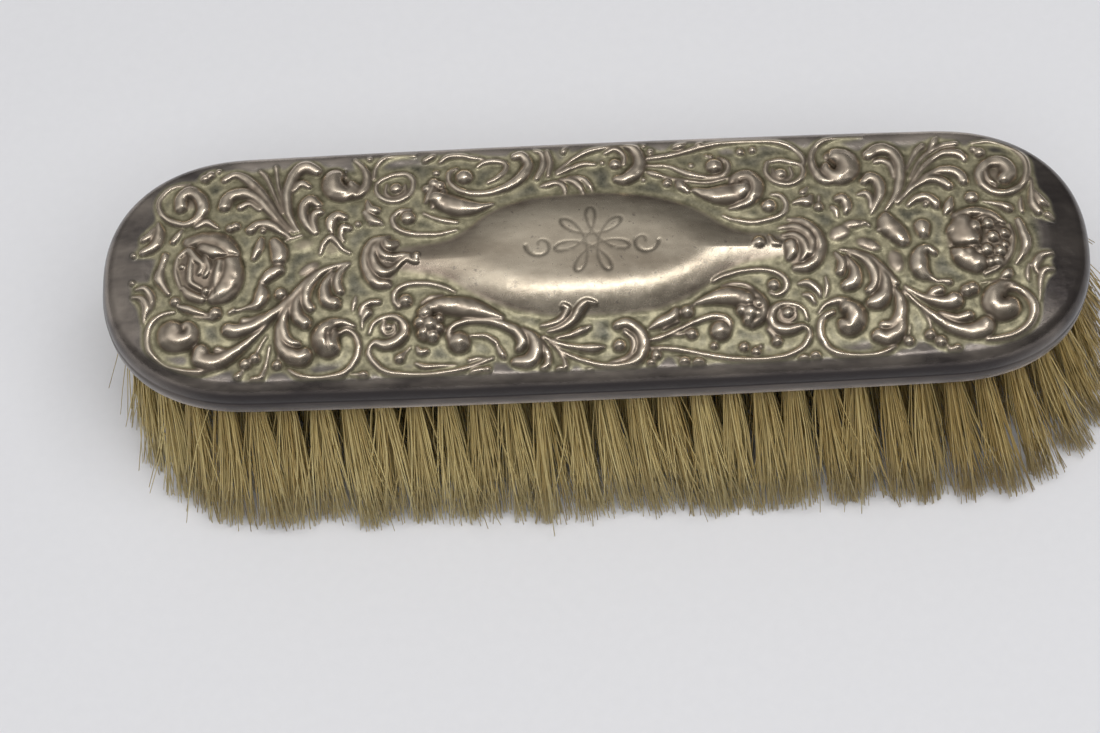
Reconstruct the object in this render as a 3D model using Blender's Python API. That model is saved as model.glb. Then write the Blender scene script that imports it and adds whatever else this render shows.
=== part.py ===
"""Silver-backed dressing-table brush, standing on its bristle tips.

Metres, +Z up, +X along the brush, -Y its front long side; the origin is the bottom centre of the
whole brush, in the plane of the bristle tips. Sizes below are in millimetres.

The back is one pressed silver sheet with a rolled rim and a narrow skirt turned in under the wood.
Pitch fills its hollow, over a thin cover board that hides the drawing wire in the grooves of the
bristle stock. Each tuft sits in its own blind hole: one ring of tufts round the edge, and seven
straight rows inside it.
"""

import math

import bmesh
import bpy

MM = 0.001

# Outline of the back, seen from above: bowed long sides, rounded ends.
HALF_LENGTH = 85.0
HALF_WIDTH = 23.65
END_DEPTH = 26.0
END_POWER = 2.28
SIDE_BOW = 0.043
END_STEPS = 9
SIDE_STEPS = 5

# Heights above the lower edge of the skirt.
SKIRT = 3.4
SHOULDER_RISE = 4.3
SHOULDER_INSET = 2.8
CROWN = 1.6
CROWN_INSET = 21.0
SHEET = 0.5
LIP = 1.3
FIT = 0.3

# Wooden core.
STOCK_TOP = 4.6
STOCK_INSET = 1.1
STEP_INSET = 1.6
COVER_INSET = 1.8
COVER_BOTTOM = STOCK_TOP + FIT
COVER_TOP = 6.1
PITCH_BOTTOM = COVER_TOP + FIT

# Bristles.
DROP = 30.0
MERGE = 10.0
PITCH_ALONG = 5.37
RING_INSET = 4.2
ROW_SPACING = 4.85
ROWS_EACH_SIDE = 3
RING_TUFTS = 68
TUFT_RADIUS = 1.4
HOLE_RADIUS = 1.9
HOLE_DEPTH = 2.9
ROOT_DEPTH = HOLE_DEPTH - FIT
SPLAY_ALONG = 0.075
SPLAY_ACROSS = 0.50
LEAN_ALONG = 4.0
LEAN_ACROSS = -5.8

# Drawing wire and the groove it lies in.
GROOVE_DEPTH = 0.95
GROOVE_WIDTH = 1.3
WIRE_RADIUS = 0.3
WIRE_SIDES = 6


# ---------------------------------------------------------------- outline and profile


def side_y(x, inset):
    """Half width of the outline at x, away from the rounded ends, moved in by inset."""
    return (HALF_WIDTH - inset) * (1 - SIDE_BOW * (x / HALF_LENGTH) ** 2)


def quarter(inset, end_steps, side_steps):
    """The outline from the +X end to the middle of the +Y side, moved in by inset."""
    start = HALF_LENGTH - END_DEPTH
    depth = END_DEPTH - inset
    points = []
    for i in range(end_steps + 1):
        angle = math.pi / 2 * i / end_steps
        x = start + depth * max(math.cos(angle), 0.0) ** (2 / END_POWER)
        points.append((x, side_y(x, inset) * math.sin(angle) ** (2 / END_POWER)))
    for i in range(1, side_steps + 1):
        x = start * (1 - i / side_steps)
        points.append((x, side_y(x, inset)))
    return points


def outline(inset, end_steps=END_STEPS, side_steps=SIDE_STEPS):
    """The closed outline, anticlockwise from the +X end, moved in by inset."""
    first = quarter(inset, end_steps, side_steps)
    second = [(-x, y) for x, y in reversed(first[:-1])]
    top = first + second
    return top + [(x, -y) for x, y in reversed(top[1:-1])]


def evenly(points, count):
    """count points at equal steps round a closed line."""
    lengths = [0.0]
    loop = points + points[:1]
    for a, b in zip(loop, loop[1:]):
        lengths.append(lengths[-1] + math.dist(a, b))
    found = []
    at = 0
    for i in range(count):
        target = lengths[-1] * i / count
        while lengths[at + 1] < target:
            at += 1
        a, b = loop[at], loop[at + 1]
        part = (target - lengths[at]) / (lengths[at + 1] - lengths[at])
        found.append((a[0] + (b[0] - a[0]) * part, a[1] + (b[1] - a[1]) * part))
    return found


def half_length_at(y, inset):
    """How far the outline, moved in by inset, reaches along X at height y across the brush."""
    share = min(abs(y) / (HALF_WIDTH - inset), 1.0)
    reach = (1 - share**END_POWER) ** (1 / END_POWER)
    return HALF_LENGTH - END_DEPTH + (END_DEPTH - inset) * reach


def dome(inset):
    """Height of the outer face of the back, inside the shoulder."""
    part = min((inset - SHOULDER_INSET) / (CROWN_INSET - SHOULDER_INSET), 1.0)
    return SKIRT + SHOULDER_RISE + CROWN * (1 - (1 - part) ** 2)


def shoulder(angle, depth):
    """(inset, height) on the shoulder curve at angle, depth below the outer face."""
    inset = depth + SHOULDER_INSET * (1 - math.cos(angle))
    return inset, SKIRT + (SHOULDER_RISE - depth) * math.sin(angle)


# ---------------------------------------------------------------- making objects


def start_scene():
    for obj in list(bpy.data.objects):
        bpy.data.objects.remove(obj)
    scene = bpy.context.scene
    scene.unit_settings.system = "METRIC"
    scene.unit_settings.scale_length = 1.0
    parts = bpy.data.collections.new("dressing_table_brush")
    cutters = bpy.data.collections.new("cutters")
    cutters.hide_render = True
    scene.collection.children.link(parts)
    scene.collection.children.link(cutters)
    return parts, cutters


def material(name, colour, metallic, roughness):
    made = bpy.data.materials.new(name)
    made.use_nodes = True
    shader = made.node_tree.nodes["Principled BSDF"]
    shader.inputs["Base Color"].default_value = (*colour, 1.0)
    shader.inputs["Metallic"].default_value = metallic
    shader.inputs["Roughness"].default_value = roughness
    made.diffuse_color = (*colour, 1.0)
    return made


def add_mesh(name, vertices, faces, collection, look=None):
    """A mesh object from points in millimetres, its faces turned outwards."""
    data = bpy.data.meshes.new(name)
    data.from_pydata([(x * MM, y * MM, z * MM) for x, y, z in vertices], [], faces)
    shaped = bmesh.new()
    shaped.from_mesh(data)
    bmesh.ops.recalc_face_normals(shaped, faces=shaped.faces)
    shaped.to_mesh(data)
    shaped.free()
    if look:
        data.materials.append(look)
    obj = bpy.data.objects.new(name, data)
    collection.objects.link(obj)
    return obj


def lofted(name, profile, collection, look):
    """A body whose rings follow the outline at each (inset, height) of the profile, capped."""
    vertices = []
    for inset, height in profile:
        vertices += [(x, y, DROP + height) for x, y in outline(inset)]
    count = len(vertices) // len(profile)
    faces = [list(range(count))]
    for ring in range(len(profile) - 1):
        low = ring * count
        for i in range(count):
            j = (i + 1) % count
            faces.append((low + i, low + j, low + count + j, low + count + i))
    faces.append(list(range(len(vertices) - count, len(vertices))))
    return add_mesh(name, vertices, faces, collection, look)


def cut(obj, cutter):
    cutter.hide_render = True
    cutter.display_type = "WIRE"
    boolean = obj.modifiers.new("cut_" + cutter.name, "BOOLEAN")
    boolean.operation = "DIFFERENCE"
    boolean.solver = "EXACT"
    boolean.object = cutter


# ---------------------------------------------------------------- the back and the core


def back_profile():
    outer = [(inset, dome(inset)) for inset in (CROWN_INSET, 15.0, 9.5, 5.5)]
    outer += [shoulder(math.radians(a), 0.0) for a in (90, 68, 48, 30, 14, 0)]
    rim = [
        (0.0, 0.25),
        (0.25, 0.0),
        (LIP, 0.0),
        (LIP, SHEET),
        (SHEET, SHEET),
    ]
    inner = [shoulder(math.radians(a), SHEET) for a in (0, 22, 48, 72, 90)]
    inner += [(inset, dome(inset) - SHEET) for inset in (9.5, 15.0, CROWN_INSET)]
    return outer + rim + inner


def pitch_profile():
    depth = SHEET + FIT
    low = math.asin((PITCH_BOTTOM - SKIRT) / (SHOULDER_RISE - depth))
    inset = shoulder(low, depth)[0]
    profile = [(CROWN_INSET, PITCH_BOTTOM), (inset, PITCH_BOTTOM)]
    profile += [shoulder(math.radians(a), depth) for a in (75, 90)]
    profile += [(i, dome(i) - depth) for i in (9.5, 15.0, CROWN_INSET)]
    return profile


def stock_profile():
    return [
        (STEP_INSET, 0.0),
        (STEP_INSET, SHEET + FIT),
        (STOCK_INSET, SHEET + FIT),
        (STOCK_INSET, STOCK_TOP),
    ]


def cover_profile():
    return [
        (COVER_INSET + 0.3, COVER_BOTTOM),
        (COVER_INSET, COVER_BOTTOM + 0.3),
        (COVER_INSET, COVER_TOP - 0.3),
        (COVER_INSET + 0.3, COVER_TOP),
    ]


# ---------------------------------------------------------------- tufts


def tip_of(root):
    """Where a tuft whose hole opens at root stands on the surface: splayed, and leaning one way."""
    x = root[0] * (1 + SPLAY_ALONG) + LEAN_ALONG
    y = root[1] * (1 + SPLAY_ACROSS) + LEAN_ACROSS
    return x, y


def on_axis(root, height):
    """The axis of the tuft at a height above the surface."""
    tip = tip_of(root)
    part = 1 - height / DROP
    return root[0] + (tip[0] - root[0]) * part, root[1] + (tip[1] - root[1]) * part


def ring_roots():
    return evenly(outline(RING_INSET, 36, 24), RING_TUFTS)


def row_roots():
    """The straight rows inside the ring, front row first."""
    inset = RING_INSET + ROW_SPACING
    count = ROWS_EACH_SIDE
    widest = HALF_WIDTH - inset
    rows = []
    for k in range(-count, count + 1):
        y = widest * k / count
        reach = half_length_at(abs(y) * 0.985, inset) - 0.4 * abs(k)
        tufts = 2 * round(reach / PITCH_ALONG) + 1
        if k % 2:
            tufts -= 1
        step = 2 * reach / (tufts - 1)
        xs = [-reach + step * i for i in range(tufts)]
        rows.append([(x, y * (1 - SIDE_BOW * (x / HALF_LENGTH) ** 2)) for x in xs])
    return rows


def hexagon(centre, along, across, radius_along, radius_across, height):
    """Six points, two of them facing each neighbour in the row."""
    points = []
    for degrees in (-30, 30, 90, 150, 210, 270):
        a = radius_along * math.cos(math.radians(degrees)) / math.cos(math.radians(30))
        c = radius_across * math.sin(math.radians(degrees))
        x = centre[0] + along[0] * a + across[0] * c
        y = centre[1] + along[1] * a + across[1] * c
        points.append((x, y, height))
    return points


def directions(roots, closed):
    """Unit direction along the row at each tuft."""
    found = []
    for i in range(len(roots)):
        before = roots[i - 1] if closed or i else roots[i]
        after = roots[(i + 1) % len(roots)] if closed or i + 1 < len(roots) else roots[i]
        length = math.dist(before, after)
        found.append(((after[0] - before[0]) / length, (after[1] - before[1]) / length))
    return found


def between(roots, i, height, closed, end_reach):
    """The point halfway to the previous tuft at a height, or just past the last one of a row."""
    count = len(roots)
    if closed or 0 < i < count:
        a, b = on_axis(roots[i - 1], height), on_axis(roots[i % count], height)
        return (a[0] + b[0]) / 2, (a[1] + b[1]) / 2
    end = on_axis(roots[0] if i == 0 else roots[-1], height)
    return end[0] + (-end_reach if i == 0 else end_reach), end[1]


def tuft_row(name, roots, closed, merge_half, tip_half, collection, look):
    """Tufts that spread until they meet their neighbours: one body, flat at the tips.

    merge_half and tip_half are its half thickness across the row, where the tufts meet and at
    the tips.
    """
    count = len(roots)
    along = directions(roots, closed)
    edges = count if closed else count + 1
    vertices = []
    faces = []

    def across_of(i):
        if closed:
            a, b = along[i - 1], along[i % count]
            length = math.hypot(a[0] + b[0], a[1] + b[1])
            return -(a[1] + b[1]) / length, (a[0] + b[0]) / length
        return 0.0, 1.0

    def edge_pair(i, height, half):
        x, y = between(roots, i, height, closed, TUFT_RADIUS + 0.3)
        ax, ay = across_of(i)
        vertices.append((x - ax * half, y - ay * half, height))
        vertices.append((x + ax * half, y + ay * half, height))

    for i in range(edges):
        edge_pair(i, MERGE, merge_half * 0.8)
        edge_pair(i, 0.0, tip_half)
    for i, root in enumerate(roots):
        across = (-along[i][1], along[i][0])
        left, right = 4 * i, 4 * ((i + 1) % edges)
        base = len(vertices)
        height = DROP + ROOT_DEPTH
        centre = on_axis(root, height)
        vertices += hexagon(
            centre, along[i], across, TUFT_RADIUS * 0.87, TUFT_RADIUS, height
        )
        middle = on_axis(root, MERGE)
        for sign in (-1, 1):
            x = middle[0] + sign * across[0] * merge_half
            y = middle[1] + sign * across[1] * merge_half
            vertices.append((x, y, MERGE))
        front, back = base + 6, base + 7
        faces.append([base + k for k in range(6)])
        # Root corners, in order: right front, right back, back, left back, left front, front.
        meets = [right, right + 1, back, left + 1, left, front]
        for k in range(6):
            n = (k + 1) % 6
            faces.append((base + k, base + n, meets[n], meets[k]))
        for side, middle_point in ((0, front), (1, back)):
            faces.append((left + 2 + side, right + 2 + side, middle_point))
            faces.append((left + 2 + side, middle_point, left + side))
            faces.append((right + 2 + side, right + side, middle_point))
        faces.append((left + 2, right + 2, right + 3, left + 3))
    if not closed:
        last = 4 * count
        faces.append((0, 1, 3, 2))
        faces.append((last, last + 1, last + 3, last + 2))
    return add_mesh(name, vertices, faces, collection, look)


def hole_cutter(all_rows, collection):
    """One six-sided prism for each tuft, along the tuft's own axis."""
    vertices = []
    faces = []
    for roots, closed in all_rows:
        for root, along in zip(roots, directions(roots, closed)):
            across = (-along[1], along[0])
            base = len(vertices)
            for height in (DROP - 1.0, DROP + HOLE_DEPTH):
                centre = on_axis(root, height)
                vertices += hexagon(
                    centre, along, across, HOLE_RADIUS * 0.87, HOLE_RADIUS, height
                )
            faces.append([base + k for k in range(6)])
            faces.append([base + 6 + k for k in range(6)])
            for k in range(6):
                n = (k + 1) % 6
                faces.append((base + k, base + n, base + 6 + n, base + 6 + k))
    return add_mesh("hole_cutter", vertices, faces, collection)


# ---------------------------------------------------------------- drawing wire


def wire_path(rows):
    """Back and forth over the straight rows, then once round the outer ring."""
    path = []
    turn = 1.6
    for k, row in enumerate(rows):
        ends = (row[0], row[-1]) if k % 2 == 0 else (row[-1], row[0])
        sign = 1 if k % 2 == 0 else -1
        start, end = ends
        if path:
            path.append((start[0], start[1] - turn * 0.6))
        path.append((start[0] + sign * turn, start[1]))
        path.append((0.0, row[len(row) // 2][1]))
        path.append((end[0] - sign * turn, end[1]))
        if k + 1 < len(rows):
            path.append((end[0], end[1] + turn * 0.6))
    ring = evenly(outline(RING_INSET, 36, 24), 44)
    first = 5
    loop = ring[first:] + ring[: first - 3]
    return path + loop


def swept(name, path, section, collection, look=None):
    """A closed tube of the given section (across, up) along a flat path."""
    vertices = []
    faces = []
    count = len(section)
    for i, point in enumerate(path):
        before = path[max(i - 1, 0)]
        after = path[min(i + 1, len(path) - 1)]
        first = (point[0] - before[0], point[1] - before[1])
        second = (after[0] - point[0], after[1] - point[1])
        a, b = math.hypot(*first), math.hypot(*second)
        direction = [
            (first[k] / a if a else 0.0) + (second[k] / b if b else 0.0) for k in (0, 1)
        ]
        length = math.hypot(*direction)
        across = (-direction[1] / length, direction[0] / length)
        widen = 2 / length if a and b else 1.0
        for side, up in section:
            x = point[0] + across[0] * side * widen
            y = point[1] + across[1] * side * widen
            vertices.append((x, y, up))
    faces.append(list(range(count)))
    for i in range(len(path) - 1):
        low = i * count
        for k in range(count):
            n = (k + 1) % count
            faces.append((low + k, low + n, low + count + n, low + count + k))
    faces.append([len(vertices) - count + k for k in range(count)])
    return add_mesh(name, vertices, faces, collection, look)


def wire_section(height):
    section = []
    for k in range(WIRE_SIDES):
        angle = 2 * math.pi * k / WIRE_SIDES
        section.append((WIRE_RADIUS * math.cos(angle), height + WIRE_RADIUS * math.sin(angle)))
    return section


def groove_section():
    half = GROOVE_WIDTH / 2
    low = DROP + STOCK_TOP - GROOVE_DEPTH
    high = DROP + STOCK_TOP + 1.0
    return [(-half, low), (half, low), (half, high), (-half, high)]


def longer(path, by):
    """The path with both ends drawn out, so that the groove clears the ends of the wire."""
    found = list(path)
    for end, inner in ((0, 1), (-1, -2)):
        length = math.dist(path[end], path[inner])
        share = by / length
        x = path[end][0] + (path[end][0] - path[inner][0]) * share
        y = path[end][1] + (path[end][1] - path[inner][1]) * share
        found[end] = (x, y)
    return found


# ---------------------------------------------------------------- placing


def stand_at_origin(objects):
    """Moves the finished meshes so that the origin is the bottom centre of the whole brush."""
    xs = [v.co.x for obj in objects for v in obj.data.vertices]
    ys = [v.co.y for obj in objects for v in obj.data.vertices]
    middle = ((min(xs) + max(xs)) / 2, (min(ys) + max(ys)) / 2)
    for obj in bpy.data.objects:
        for vertex in obj.data.vertices:
            vertex.co.x -= middle[0]
            vertex.co.y -= middle[1]


def main():
    parts, cutters = start_scene()
    silver = material("silver", (0.62, 0.58, 0.54), 1.0, 0.32)
    pitch = material("pitch", (0.030, 0.022, 0.017), 0.0, 0.55)
    veneer = material("veneer", (0.23, 0.12, 0.055), 0.0, 0.50)
    wood = material("wood", (0.35, 0.21, 0.11), 0.0, 0.60)
    brass = material("brass_wire", (0.70, 0.50, 0.22), 1.0, 0.35)
    bristle = material("bristle", (0.47, 0.40, 0.22), 0.0, 0.70)

    lofted("silver_back", back_profile(), parts, silver)
    lofted("pitch_filling", pitch_profile(), parts, pitch)
    lofted("cover_board", cover_profile(), parts, veneer)
    stock = lofted("bristle_stock", stock_profile(), parts, wood)

    ring = ring_roots()
    rows = row_roots()
    cut(stock, hole_cutter([(ring, True)] + [(row, False) for row in rows], cutters))
    path = wire_path(rows)
    cut(stock, swept("groove_cutter", longer(path, 0.6), groove_section(), cutters))
    height = DROP + STOCK_TOP - GROOVE_DEPTH + FIT + WIRE_RADIUS
    swept("draw_wire", path, wire_section(height), parts, brass)

    tuft_row("tuft_ring", ring, True, 2.1, 2.3, parts, bristle)
    for number, row in enumerate(rows, start=1):
        tuft_row(f"tuft_row_{number}", row, False, 2.3, 2.8, parts, bristle)
    stand_at_origin(list(parts.objects))


main()
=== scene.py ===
"""Looks for the silver-backed dressing-table brush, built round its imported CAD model.

Lengths are in millimetres until a mesh is made. The embossing is drawn as strokes on the plan of
the silver back: x along the brush, y across it, from the middle of the back.
"""

import math

import bpy
import numpy as np
from mathutils import Matrix, Vector

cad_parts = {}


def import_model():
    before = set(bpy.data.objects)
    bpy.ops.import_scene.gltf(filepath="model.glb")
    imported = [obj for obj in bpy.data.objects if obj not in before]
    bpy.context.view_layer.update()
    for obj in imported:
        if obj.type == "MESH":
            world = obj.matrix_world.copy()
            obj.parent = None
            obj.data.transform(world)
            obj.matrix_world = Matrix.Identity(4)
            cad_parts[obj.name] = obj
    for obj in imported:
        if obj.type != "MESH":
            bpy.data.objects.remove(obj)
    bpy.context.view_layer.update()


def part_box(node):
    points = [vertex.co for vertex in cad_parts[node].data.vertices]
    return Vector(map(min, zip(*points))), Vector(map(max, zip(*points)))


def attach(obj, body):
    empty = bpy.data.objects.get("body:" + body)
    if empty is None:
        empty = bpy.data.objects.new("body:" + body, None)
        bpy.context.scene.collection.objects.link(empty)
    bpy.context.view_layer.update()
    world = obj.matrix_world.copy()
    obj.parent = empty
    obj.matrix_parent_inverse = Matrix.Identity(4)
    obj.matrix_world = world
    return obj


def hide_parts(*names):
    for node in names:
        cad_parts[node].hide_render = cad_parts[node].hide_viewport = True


MM = 0.001
SEED = 7

# ---------------------------------------------------------------- shape of the back

HALF_LENGTH, HALF_WIDTH = 85.0, 23.65
END_DEPTH, END_POWER, SIDE_BOW = 26.0, 2.28, 0.043
SKIRT, SHOULDER_RISE, SHOULDER_INSET = 3.4, 4.3, 2.8
CROWN, CROWN_INSET = 1.6, 21.0
SHEET, LIP = 0.5, 1.3
DROP = 30.0

# The sunk field that carries the embossing, and the bevel round it.
FIELD_HALF_LENGTH, FIELD_HALF_WIDTH = 77.8, 21.0
FIELD_END, FIELD_POWER = 22.0, 2.2
FIELD_DEPTH, FIELD_BEVEL = 0.38, 2.4

# Height field of the embossing: a grid over the plan.
CELL = 0.125
GRID_X, GRID_Y = 85.0, 23.75
# How far everything drawn below is moved across the brush, and how much wider its strokes are made.
SHIFT, SWELL = -0.3, 1.26
# Height of a ridge: this share of its half width to a power, up to a limit. Petals are lower.
RIDGE_SHARE, RIDGE_POWER, RIDGE_MOST = 0.8, 0.76, 1.2
PETAL_SHARE = 0.8
# Depth of a crease and of an engraved line, as shares of half width.
CREASE_SHARE, CUT_SHARE = 0.8, 0.3
# How peaked a cross section is, from 0 for flat-topped to 1 for a parabola.
RIDGE_PEAK, DOME_PEAK, CUT_PEAK = 0.7, 0.75, 0.5
LEAST_HALF_WIDTH = 0.15

# The plain cartouche in the middle stands this high, bevelled this far in from its outline,
# and is crowned lengthwise over this reach each way.
BOSS_HEIGHT, BOSS_BEVEL = 0.85, 7.2
BOSS_CROWN, CROWN_REACH = 1.0, 34.0

# Small dents: size of the broad and the fine ones, share of the fine ones, depth, and how much is
# left of them on the plain border.
DENT_SIZE, FINE_DENT_SIZE, FINE_DENT_SHARE = 1.4, 0.45, 0.35
DENT_DEPTH, BORDER_DENTS = 0.05, 0.25
# How far the edge of the dull ground wanders, and over what distance.
WANDER, WANDER_SIZE = 0.5, 1.9

# How dark the painted shade and tarnish on the plain border are, from 0 to 1: on the skirt, on the top
# of each end, and on the shoulder where it faces left and back. Where the shoulder faces front or right, it
# is 1.
# The shoulder's darkening by the way it faces is painted shade.
SKIRT_SHADE_AND_TARNISH = 0.8
LEFT_END_SHADE_AND_TARNISH, RIGHT_END_SHADE_AND_TARNISH = 0.4, 0.8
LEFT_SHOULDER_SHADE, BACK_SHOULDER_SHADE = 0.85, 0.15

# Mesh of the back.
SHOULDER_TOP = SKIRT + SHOULDER_RISE
QUARTER_POINTS = 380
CHASED_RINGS = 84
LAST_INSET = 23.4
RING_SPACING_INSET = 8.0
MIDDLE_INSET = 9.0
# The lower edge is rounded over this much, and the middle of the round is this far from its corner.
EDGE_ROUND, EDGE_MIDDLE = 0.4, 0.12
# Heights of two more rings round the skirt.
SKIRT_LEVELS = (0.5, 1.8)
# The shoulder starts this far in from the skirt, over a fillet of two rings.
SHOULDER_START, FILLET_INSETS = 0.15, (0.02, 0.12)

# The holes that the tufts stand in: a ring round the edge, and straight rows inside it.
PITCH_ALONG, RING_INSET, ROW_SPACING = 5.37, 4.2, 4.85
ROWS_EACH_SIDE, RING_TUFTS = 3, 68
# How tips spread from the middle of the brush, as shares, and how far all of them lean.
SPLAY_ALONG, SPLAY_ACROSS = 0.035, 0.46
LEAN_ALONG, LEAN_ACROSS = 2.6, -3.9
RIGHT_END_SPLAY = 5.5
# Radius of a tuft at its root, and of its tips along and across the brush.
ROOT_SPREAD, TIP_SPREAD = 1.15, (2.5, 1.4)
# A tuft falls into locks, whose tips stray together.
LOCKS, LOCK_SPREAD = 7, 2.2
# How far tips stray one by one and tuft by tuft, the most, and the share of it across the brush.
STRAY, TUFT_STRAY, MOST_STRAY, STRAY_ACROSS = 0.5, 0.7, 2.7, 0.55
# Some bristles are wild, and stray further.
WILD_SHARE, WILD_ALONG, WILD_ACROSS = 0.15, 4.5, 2.6
# How much shorter locks, single bristles and wild ones are.
LOCK_SHORT, BRISTLE_SHORT, WILD_SHORT = 1.3, 0.7, 6.0
# A bristle: bow of its middle, radius, range of its thickness, share lost at the tip, sides.
BOW, BRISTLE_RADIUS = 0.6, 0.13
THINNEST, THICKEST, TAPER = 0.75, 1.25, 0.35
BRISTLE_SIDES = 3
LOWEST_TIP = 0.02
# Shade from 0, dark, to 1, light: the middle, its spread over tufts and over single bristles, and
# how much darker the right end is, which is painted shade.
SHADE, TUFT_SHADES, BRISTLE_SHADES, RIGHT_END_PAINTED_SHADE = 0.55, 0.08, 0.22, 0.5
# Bristles in each tuft, and the levels of their rings, from 0 at the rim of the back to 1 at the tips.
RING_EACH, RING_LEVELS = 84, (-0.08, 0.0, 0.2, 0.45, 0.72, 1.0)
ROW_EACH, ROW_LEVELS = 38, (-0.08, 0.0, 0.35, 0.7, 1.0)

# Camera: angles in degrees, and how far right of, above and beyond it the back's middle lies.
CAMERA_ELEVATION, CAMERA_AZIMUTH, CAMERA_ROLL = 65.6, -0.47, -2.01
CAMERA_OFFSET = (8.0, 15.7, 468.0)
CAMERA_LENS = 88.3636

# Brightness of the surroundings, from straight ahead of the brush's front to straight behind it.
WORLD_LEVELS = (
    (0.0, 0.06), (0.1, 0.1), (0.3, 0.1), (0.4, 0.2), (0.47, 0.6), (0.51, 1.05), (0.57, 0.95), (0.62, 0.6),
    (0.7, 0.42), (0.83, 0.34), (0.92, 0.2), (1.0, 0.12),
)
# The same from the brush's left end to its right end, as a factor.
WORLD_SIDES = (
    (0.0, 0.25), (0.2, 0.7), (0.32, 1.1), (0.42, 1.2), (0.5, 1.3), (0.54, 1.05), (0.59, 0.65),
    (0.72, 0.35), (1.0, 0.25),
)

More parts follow.
